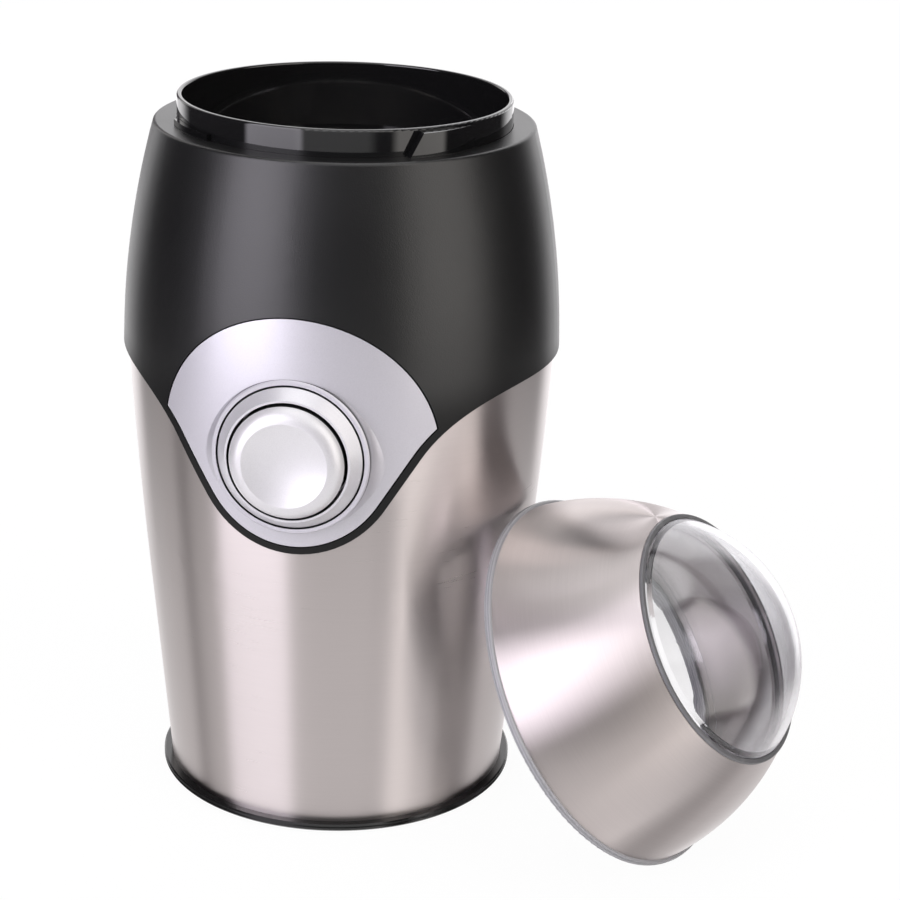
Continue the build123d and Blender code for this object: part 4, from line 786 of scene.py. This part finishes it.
def close_up(piece: bpy.types.Object, reach: float = 0.000005) -> None:
    """Merge a piece's double points, close its open ends and turn its faces outwards.

    Args:
        piece: The piece.
        reach: Distance within which points merge.
    """
    pick(piece)
    bpy.ops.object.mode_set(mode="EDIT")
    bpy.ops.mesh.select_all(action="SELECT")
    bpy.ops.mesh.remove_doubles(threshold=reach)
    bpy.ops.mesh.fill_holes(sides=0)
    bpy.ops.mesh.select_all(action="SELECT")
    bpy.ops.mesh.normals_make_consistent(inside=False)
    bpy.ops.object.mode_set(mode="OBJECT")


def smooth(piece: bpy.types.Object, crease: float = 30.0) -> None:
    """Shade a piece smoothly, apart from edges of more degrees than the crease."""
    pick(piece)
    bpy.ops.object.shade_smooth_by_angle(angle=math.radians(crease), keep_sharp_edges=False)


def put_in_order(piece: bpy.types.Object) -> None:
    """Sort a piece's points, edges and faces, as extrude leaves them in a new order each run.

    Args:
        piece: The piece.
    """
    pick(piece)
    bpy.context.scene.cursor.location = SORT_FROM
    bpy.ops.object.mode_set(mode="EDIT")
    bpy.ops.mesh.select_all(action="SELECT")
    bpy.ops.mesh.sort_elements(type="CURSOR_DISTANCE", elements={"VERT", "EDGE", "FACE"})
    bpy.ops.object.mode_set(mode="OBJECT")
    bpy.context.scene.cursor.location = (0.0, 0.0, 0.0)


@dataclass(frozen=True)
class CoilSpring:
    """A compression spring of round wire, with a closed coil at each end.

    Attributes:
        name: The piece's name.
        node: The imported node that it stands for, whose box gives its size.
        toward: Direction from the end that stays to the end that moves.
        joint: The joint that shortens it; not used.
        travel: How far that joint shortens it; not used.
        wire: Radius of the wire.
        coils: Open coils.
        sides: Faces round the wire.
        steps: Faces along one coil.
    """

    name: str
    node: str
    toward: Triple
    joint: str
    travel: float
    wire: float = 0.00035
    coils: int = 4
    sides: int = 12
    steps: int = 32

    def build(self) -> bpy.types.Object:
        """Wind the spring.

        Returns:
            The spring.
        """
        low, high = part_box(self.node)
        toward = Vector(self.toward)
        length = abs((high - low).dot(toward))
        radius = (high.x - low.x) / 2 - self.wire
        closed = 2 * self.wire
        rise = length - 2 * self.wire - 2 * closed
        spans = (
            self._wind(radius, self.wire, closed, 1),
            self._wind(radius, self.wire + closed, rise / self.coils, self.coils),
            self._wind(radius, length - self.wire - closed, closed, 1),
        )
        pick(*spans)
        bpy.ops.object.join()
        spring = bpy.context.object
        spring.name = self.name
        close_up(spring)
        seat = (low + high) / 2 - toward * length / 2
        spring.rotation_euler = UP.rotation_difference(toward).to_euler()
        spring.location = seat
        settle(spring)
        smooth(spring)
        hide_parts(self.node)
        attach(spring, "housing")
        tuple(self.toward)
        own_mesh(spring)
        return spring

    def _wind(self, radius: float, height: float, pitch: float, coils: int) -> bpy.types.Object:
        """Wind some coils round the Z axis.

        Args:
            radius: Radius of the coils.
            height: Height at which the wire starts.
            pitch: Rise of each coil.
            coils: How many coils.

        Returns:
            The coils, open at both ends.
        """
        made = start(
            bpy.ops.mesh.primitive_circle_add,
            vertices=self.sides,
            radius=self.wire,
            location=(radius, 0.0, height),
            rotation=(math.pi / 2, 0.0, 0.0),
        )
        settings = {
            "axis": "Z",
            "angle": 2 * math.pi,
            "screw_offset": pitch,
            "iterations": coils,
            "steps": self.steps,
            "render_steps": self.steps,
        }
        apply_modifier(made, "SCREW", settings)
        return made


@dataclass(frozen=True)
class CrossScrews:
    """Pan-head screws with a cross recess, that point upwards and stand on one circle.

    Attributes:
        name: The piece's name.
        node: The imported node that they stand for, whose box gives their circle and heights.
        count: How many screws.
        first: Degrees of the first screw.
        head: Radius of the head.
        head_height: Height of the head.
        shank: Radius of the shank.
        sides: Faces round the head.
        edge: Rounding of the head's rim.
        edge_steps: Faces across that rounding.
        point: Share of the shank's radius that is left at its tip.
        arm: Length of the recess from tip to tip.
        arm_width: Width of the recess.
        depth: Depth of the recess.
        twist: Radians by which each screw is driven further than the one before it.
    """

    name: str
    node: str
    count: int = 4
    first: float = 45.0
    head: float = 0.0028
    head_height: float = 0.0018
    shank: float = 0.0015
    sides: int = 48
    edge: float = 0.0007
    edge_steps: int = 5
    point: float = 0.35
    arm: float = 0.0031
    arm_width: float = 0.00075
    depth: float = 0.0012
    twist: float = 0.7

    def build(self) -> bpy.types.Object:
        """Model one screw and set its copies on the circle.

        Returns:
            The screws as one piece.
        """
        low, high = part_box(self.node)
        circle = math.hypot(high.x - self.head, high.y - self.head)
        model = self._turn(high.z - low.z)
        self._recess(model)
        put_in_order(model)
        smooth(model)
        copies = []
        for number in range(self.count):
            angle = math.radians(self.first + 360.0 * number / self.count)
            pick(model)
            bpy.ops.object.duplicate()
            copy = bpy.context.object
            copy.rotation_euler.z = angle + self.twist * number
            copy.location = (circle * math.cos(angle), circle * math.sin(angle), low.z)
            settle(copy)
            copies.append(copy)
        pick(model)
        bpy.ops.object.delete()
        pick(*copies)
        bpy.ops.object.join()
        screws = bpy.context.object
        screws.name = self.name
        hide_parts(self.node)
        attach(screws, "housing")
        return screws

    def _turn(self, length: float) -> bpy.types.Object:
        """Turn one screw, head down on the origin.

        Args:
            length: The screw's whole length.

        Returns:
            The screw, without its recess.
        """
        screw = start(
            bpy.ops.mesh.primitive_cylinder_add,
            vertices=self.sides,
            radius=self.head,
            depth=self.head_height,
            location=(0.0, 0.0, self.head_height / 2),
        )
        pick_faces(screw, -UP, -PICK_SLACK)
        bpy.ops.mesh.bevel(offset=self.edge, segments=self.edge_steps, affect="EDGES")
        bpy.ops.object.mode_set(mode="OBJECT")
        pick_faces(screw, UP, self.head_height - PICK_SLACK)
        bpy.ops.mesh.inset(thickness=self.head - self.shank)
        rise = (0.0, 0.0, length - self.head_height - self.shank)
        bpy.ops.mesh.extrude_region_move(TRANSFORM_OT_translate={"value": rise})
        tip = (0.0, 0.0, self.shank)
        bpy.ops.mesh.extrude_region_move(TRANSFORM_OT_translate={"value": tip})
        taper = (self.point, self.point, 1.0)
        bpy.ops.transform.resize(value=taper, center_override=(0.0, 0.0, length))
        bpy.ops.object.mode_set(mode="OBJECT")
        return screw

    def _recess(self, screw: bpy.types.Object) -> None:
        """Cut the cross recess into a screw's head.

        Args:
            screw: The screw, head down on the origin.
        """
        for turn in (0.0, math.pi / 2):
            size = (self.arm, self.arm_width, 2 * self.depth)
            cube = bpy.ops.mesh.primitive_cube_add
            bar = start(cube, size=1.0, scale=size, rotation=(0.0, 0.0, turn))
            cut = {"operation": "DIFFERENCE", "solver": "EXACT", "object": bar}
            apply_modifier(screw, "BOOLEAN", cut)
            pick(bar)
            bpy.ops.object.delete()


# ---- Sub-assemblies ----
@dataclass
class Assembly(ABC):
    """A group of pieces that is dressed together.

    Attributes:
        nodes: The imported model's objects by name.
    """

    nodes: Mapping[str, bpy.types.Object]

    @abstractmethod
    def build(self) -> None:
        """Dress the group and add its detail pieces."""

    def dress(self, finish: Union[Palette, Finish], *names: str) -> None:
        """Give nodes their finish.

        Args:
            finish: The finish.
            names: Names of the nodes.
        """
        for name in names:
            for slot in self.nodes[name].material_slots:
                slot.material = finish.material()
            log.info("%s: %s", name, finish.name)

    @staticmethod
    def coat(piece: bpy.types.Object, finish: Union[Palette, Finish]) -> None:
        """Give a new piece its finish.

        Args:
            piece: The piece.
            finish: The finish.
        """
        piece.data.materials.clear()
        piece.data.materials.append(finish.material())
        log.info("%s: %s", piece.name, finish.name)


@dataclass
class Shell(Assembly):
    """The barrel housing, the collar round the chamber's mouth and the steel sleeve."""

    def build(self) -> None:
        """Dress the shell."""
        self.dress(Palette.SATIN_BLACK, "main_housing")
        self.dress(Palette.GLOSS_BLACK, "chamber_collar")
        self.dress(Palette.SLEEVE_STEEL, "steel_sleeve")


@dataclass
class ButtonGroup(Assembly):
    """The control panel with its button, and the switch behind it.

    Attributes:
        press: How far the button goes in.
    """

    press: float = 0.003

    def build(self) -> None:
        """Dress the button group and wind its spring."""
        self.dress(Palette.PANEL_SILVER, "control_panel")
        self.dress(Palette.BEZEL_SILVER, "button_bezel")
        self.dress(Palette.BUTTON_SILVER, "push_button")
        self.dress(Palette.MOULDED_BLACK, "button_guide")
        self.dress(Palette.SWITCH_GREY, "switch_body")
        self.dress(Palette.SWITCH_RED, "switch_plunger")
        self.dress(Palette.ZINC_STEEL, "guide_screws")
        name, node = "button_coil_spring", "button_spring"
        spring = CoilSpring(name, node, (0.0, -1.0, 0.0), "button_press", self.press)
        self.coat(spring.build(), Palette.SPRING_STEEL)


@dataclass
class Chamber(Assembly):
    """The grinding bowl with its carrier and seals, the blade and the lid interlock.

    Attributes:
        press: How far the interlock's pin goes down.
    """

    press: float = 0.0022

    def build(self) -> None:
        """Dress the chamber and wind the interlock's spring."""
        self.dress(Palette.BOWL_STEEL, "grinding_bowl")
        self.dress(Palette.SOFT_RUBBER, "bowl_seal", "shaft_seal")
        self.dress(Palette.MOULDED_BLACK, "bowl_carrier", "interlock_pin")
        self.dress(Palette.SWITCH_GREY, "interlock_switch")
        self.dress(Palette.SWITCH_RED, "interlock_plunger")
        self.dress(Palette.ZINC_STEEL, "carrier_screws")
        self.dress(Palette.BLADE_STEEL, "grinding_blade")
        self.dress(Palette.SHAFT_STEEL, "blade_nut")
        name, node = "interlock_coil_spring", "interlock_spring"
        spring = CoilSpring(name, node, (0.0, 0.0, 1.0), "interlock_press", self.press)
        self.coat(spring.build(), Palette.SPRING_STEEL)


@dataclass
class Motor(Assembly):
    """The universal motor with its mounts."""

    def build(self) -> None:
        """Dress the motor."""
        self.dress(Palette.LAMINATION_IRON, "stator_core", "armature_core")
        self.dress(Palette.COPPER_WIRE, "field_coils", "armature_windings")
        self.dress(Palette.SHAFT_STEEL, "motor_shaft")
        self.dress(Palette.COMMUTATOR_COPPER, "commutator")
        self.dress(Palette.CAST_ALUMINIUM, "upper_bracket")
        self.dress(Palette.MOULDED_BLACK, "lower_bracket")
        self.dress(Palette.BRONZE, "upper_bush", "lower_bush", "thrust_washers")
        self.dress(Palette.BRASS_SHEET, "brush_holders")
        self.dress(Palette.CARBON, "carbon_brushes")
        self.dress(Palette.SPRING_STEEL, "brush_springs")
        self.dress(Palette.FAN_PLASTIC, "cooling_fan")
        self.dress(Palette.SOFT_RUBBER, "motor_mounts")
        self.dress(Palette.ZINC_STEEL, "motor_bolts", "motor_nuts", "mount_screws")


@dataclass
class Base(Assembly):
    """The base ring, the base plate and what stands under it."""

    def build(self) -> None:
        """Dress the base and make its screws."""
        self.dress(Palette.BASE_BLACK, "base_ring")
        self.dress(Palette.MOULDED_BLACK, "base_plate")
        self.dress(Palette.FOOT_RUBBER, "foot_ring", "cord_grommet")
        screws = CrossScrews("base_cross_screws", "base_screws")
        self.coat(screws.build(), Palette.ZINC_STEEL)


@dataclass
class Lid(Assembly):
    """The lid that leans beside the body, on an axis of its own.

    Attributes:
        up: Direction from the lid's mouth to its dome.
        weld: Distance within which the clear shell's points merge.
    """

    up: Vector
    weld: float = 0.000002

    def build(self) -> None:
        """Dress the lid and make its clear shell."""
        self.dress(Palette.GREY_GASKET, "dome_ring")
        lean = tuple(UP.rotation_difference(self.up).to_euler())
        steel = BrushedSteel(
            "lid steel",
            (0.53, 0.485, 0.48),
            0.38,
            shade=(0.505, 0.462, 0.457),
            hairlines=6000.0,
            hairline_length=0.02,
            relief_depth=0.0000012,
            anisotropy=1.0,
            turn=0.106,
            centre=tuple(self._dome_middle()),
            lean=lean,
        )
        self.dress(steel, "lid_cover")
        mouth = tuple(self._mouth())
        clear = ClearPlastic("clear plastic", (0.9, 0.9, 0.915), 0.015, centre=mouth, lean=lean)
        self.coat(self._clear_shell(), clear)

    def _clear_shell(self) -> bpy.types.Object:
        """Clear shell with one smooth crown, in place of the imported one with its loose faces.

        Returns:
            The shell.
        """
        shell = bpy.data.objects.new("clear_lid_shell", self.nodes["lid_liner"].data.copy())
        bpy.context.collection.objects.link(shell)
        pick(shell)
        bpy.ops.mesh.customdata_custom_splitnormals_clear()
        bpy.ops.object.mode_set(mode="EDIT")
        bpy.ops.mesh.select_all(action="SELECT")
        bpy.ops.mesh.remove_doubles(threshold=self.weld)
        bpy.ops.mesh.dissolve_degenerate(threshold=self.weld)
        bpy.ops.object.mode_set(mode="OBJECT")
        smooth(shell)
        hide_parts("lid_liner")
        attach(shell, "lid")
        return shell

    @staticmethod
    def _dome_middle() -> Vector:
        """Middle of the ring round the dome, on the lid's axis."""
        low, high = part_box("dome_ring")
        return (low + high) / 2

    def _mouth(self) -> Vector:
        """Middle of the lid's mouth, on its axis."""
        liner = self.nodes["lid_liner"]
        middle = self._dome_middle()
        points = [liner.matrix_world @ vertex.co for vertex in liner.data.vertices]
        return middle - self.up * max((middle - point).dot(self.up) for point in points)


# ---- Studio ----
@dataclass(frozen=True)
class SoftBox:
    """A soft light panel of the studio, or a black flag, far from the object.

    Attributes:
        bearing: Degrees round the object, 0 in front of the button and 90 on its +X side.
        half_width: Degrees from the panel's middle to its edge.
        low: Elevation of the lower edge in degrees.
        high: Elevation of the upper edge in degrees.
        strength: Brightness, below 0 for a flag that takes light away.
        tint: Colour of the light.
        feather: Degrees over which the upright edges fade.
        rise: Degrees over which the level edges fade.
    """

    bearing: float
    half_width: float
    low: float
    high: float
    strength: float
    tint: Colour = (1.0, 1.0, 1.0)
    feather: float = 5.0
    rise: float = 8.0


@dataclass
class Studio:
    """Pale floor, soft light and camera.

    Attributes:
        boxes: The soft light panels.
        ambient: Light between the panels.
        camera_bearing: Degrees round the object.
        camera_distance: Metres from the body's axis, level.
        camera_height: Metres above the floor.
        camera_pan: Degrees that the camera looks past the body's axis.
        camera_tilt: Degrees that it looks down.
        camera_roll: Degrees that it is rolled.
        lens: Focal length in millimetres.
        sensor: Width of the sensor in millimetres.
        near: Metres in front of the camera where its view begins.
        floor_size: Metres.
        floor_glow: Share of the floor's look that is plain white, free of shadow.
    """

    boxes: Sequence[SoftBox] = (
        # Panels and flags that stand round the object or hang over it.
        SoftBox(-37.0, 20.5, -14.0, 42.0, 4.9, (1.0, 0.96, 1.05)),
        SoftBox(-37.0, 20.5, 42.0, 62.0, 1.1, (1.0, 0.96, 1.05)),
        SoftBox(68.0, 22.0, -16.0, 60.0, 2.3, (1.04, 1.0, 0.96), feather=8.0),
        SoftBox(192.5, 42.0, -20.0, 60.0, 1.6, (1.0, 0.99, 1.0), feather=18.0),
        SoftBox(15.0, 34.0, 26.0, 64.0, 1.0, feather=8.0),
        SoftBox(6.0, 25.0, -18.0, -8.0, 0.7, feather=10.0, rise=6.0),
        SoftBox(212.0, 7.0, -10.0, 62.0, -1.5, feather=6.0),
        SoftBox(225.0, 6.0, 10.0, 50.0, 0.5, (1.0, 0.93, 0.8)),
        SoftBox(0.0, 180.0, 66.0, 120.0, 2.2),
        # Brightness of the floor in reflections, which pass through it.
        SoftBox(0.0, 181.0, -120.0, -22.0, 1.02, (1.0, 0.985, 0.98), rise=12.0),
        SoftBox(-42.0, 26.0, -120.0, -20.0, 0.15, (1.0, 0.98, 1.0), feather=11.0, rise=10.0),
        SoftBox(56.0, 10.0, -120.0, -22.0, 0.36, (1.02, 1.0, 0.98), feather=9.0, rise=12.0),
        SoftBox(100.0, 17.0, -46.0, -22.0, -0.62, feather=12.0, rise=12.0),
        SoftBox(135.0, 52.0, -120.0, -46.0, -0.36, feather=16.0, rise=12.0),
        SoftBox(-91.0, 5.0, -120.0, -22.0, -0.66, feather=5.0, rise=12.0),
        SoftBox(192.5, 52.0, -120.0, -22.0, 0.1, feather=20.0, rise=12.0),
    )
    ambient: Colour = (0.045, 0.042, 0.045)
    camera_bearing: float = 12.5
    camera_distance: float = 0.5164
    camera_height: float = 0.2697
    camera_pan: float = 2.842
    camera_tilt: float = 20.26
    camera_roll: float = 1.788
    lens: float = 93.65
    sensor: float = 36.0
    near: float = 0.01
    floor_size: float = 6.0
    floor_glow: float = 0.96

    def build(self) -> None:
        """Add the camera, the floor and the light."""
        self._add_camera()
        self._add_floor()
        self._light_world()
        bpy.context.scene.view_settings.view_transform = "Standard"
        bpy.context.scene.view_settings.look = "None"

    def _add_camera(self) -> None:
        """Place the camera."""
        bearing = math.radians(self.camera_bearing)
        across = self.camera_distance * math.sin(bearing)
        away = -self.camera_distance * math.cos(bearing)
        heading = Matrix.Rotation(bearing - math.radians(self.camera_pan), 4, "Z")
        tilt = Matrix.Rotation(math.radians(90.0 - self.camera_tilt), 4, "X")
        roll = Matrix.Rotation(math.radians(self.camera_roll), 4, "Z")
        bpy.ops.object.camera_add()
        camera = bpy.context.object
        camera.name = "studio_camera"
        place = Matrix.Translation((across, away, self.camera_height))
        camera.matrix_world = place @ heading @ tilt @ roll
        camera.data.sensor_width = self.sensor
        camera.data.lens = self.lens
        camera.data.clip_start = self.near
        bpy.context.scene.camera = camera

    def _add_floor(self) -> None:
        """Add the pale floor."""
        floor = start(bpy.ops.mesh.primitive_plane_add, size=self.floor_size)
        floor.name = "studio_floor"
        made = bpy.data.materials.new("studio floor")
        made.use_nodes = True
        graph = Graph(made.node_tree)
        path = graph.node("ShaderNodeLightPath", {}, {})
        lit = graph.node("ShaderNodeBsdfDiffuse", {}, {"Color": scaled(WHITE, 0.9)})["BSDF"]
        paper = graph.node("ShaderNodeEmission", {}, {"Color": WHITE, "Strength": 1.0})["Emission"]
        clear = graph.node("ShaderNodeBsdfTransparent", {}, {})["BSDF"]
        seen = graph.blend(lit, paper, path["Is Camera Ray"] * self.floor_glow)
        below = graph.node("ShaderNodeNewGeometry", {}, {})["Backfacing"]
        hidden = graph.math("MAXIMUM", path["Is Glossy Ray"], below)
        graph.node("ShaderNodeOutputMaterial", {}, {"Surface": graph.blend(seen, clear, hidden)})
        floor.data.materials.append(made)

    def _light_world(self) -> None:
        """Light the scene with the soft panels."""
        world = bpy.data.worlds.new("studio")
        bpy.context.scene.world = world
        world.use_nodes = True
        graph = Graph(world.node_tree)
        toward = graph.node("ShaderNodeTexCoord", {}, {})["Generated"]
        elevation = graph.math("ARCSINE", graph.part(toward, "Z"))
        level = graph.vector_math("NORMALIZE", graph.stretched(toward, 1.0, 0.0))["Vector"]
        light: Any = self.ambient
        for box in self.boxes:
            shown = graph.spread(self._panel(graph, box, level, elevation))
            glow = scaled(box.tint, box.strength)
            light = graph.vector_math("MULTIPLY_ADD", shown, glow, light)["Vector"]
        light = graph.vector_math("MAXIMUM", light, (0.0, 0.0, 0.0))["Vector"]
        studio = graph.node("ShaderNodeBackground", {}, {"Color": light})["Background"]
        backdrop = graph.node("ShaderNodeBackground", {}, {"Color": WHITE})["Background"]
        seen = graph.node("ShaderNodeLightPath", {}, {})["Is Camera Ray"]
        graph.node("ShaderNodeOutputWorld", {}, {"Surface": graph.blend(studio, backdrop, seen)})

    @staticmethod
    def _panel(graph: Graph, box: SoftBox, level: Wire, elevation: Wire) -> Wire:
        """Where one panel shows.

        Args:
            graph: The world's graph.
            box: The panel.
            level: Direction of the light, made level.
            elevation: The light's elevation in radians.

        Returns:
            1 inside the panel and 0 outside it, with soft edges.
        """
        bearing = math.radians(box.bearing)
        middle = (math.sin(bearing), -math.cos(bearing), 0.0)
        turned = graph.math("ARCCOSINE", graph.vector_math("DOT_PRODUCT", level, middle)["Value"])
        rise = math.radians(box.rise / 2)
        across = turned.below(math.radians(box.half_width), math.radians(box.feather / 2))
        above = elevation.above(math.radians(box.low), rise)
        below = elevation.below(math.radians(box.high), rise)
        return across * above * below


# ---- The scene ----
def clear_scene() -> None:
    """Delete what a new file holds."""
    bpy.ops.object.select_all(action="SELECT")
    bpy.ops.object.delete()


def main() -> None:
    """Build the scene."""
    logging.basicConfig(level=logging.INFO, format="%(name)s: %(message)s")
    clear_scene()
    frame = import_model()
    bpy.ops.object.select_all(action="DESELECT")
    Studio().build()
    nodes = frame["nodes"]
    lid_axis = next(joint["axis"] for joint in frame["joints"] if joint["name"] == "lid_lift")
    for assembly in (
        Shell(nodes),
        ButtonGroup(nodes),
        Chamber(nodes),
        Motor(nodes),
        Base(nodes),
        Lid(nodes, Vector(lid_axis)),
    ):
        assembly.build()
        log.info("%s built", type(assembly).__name__)


if __name__ == "__main__":
    main()
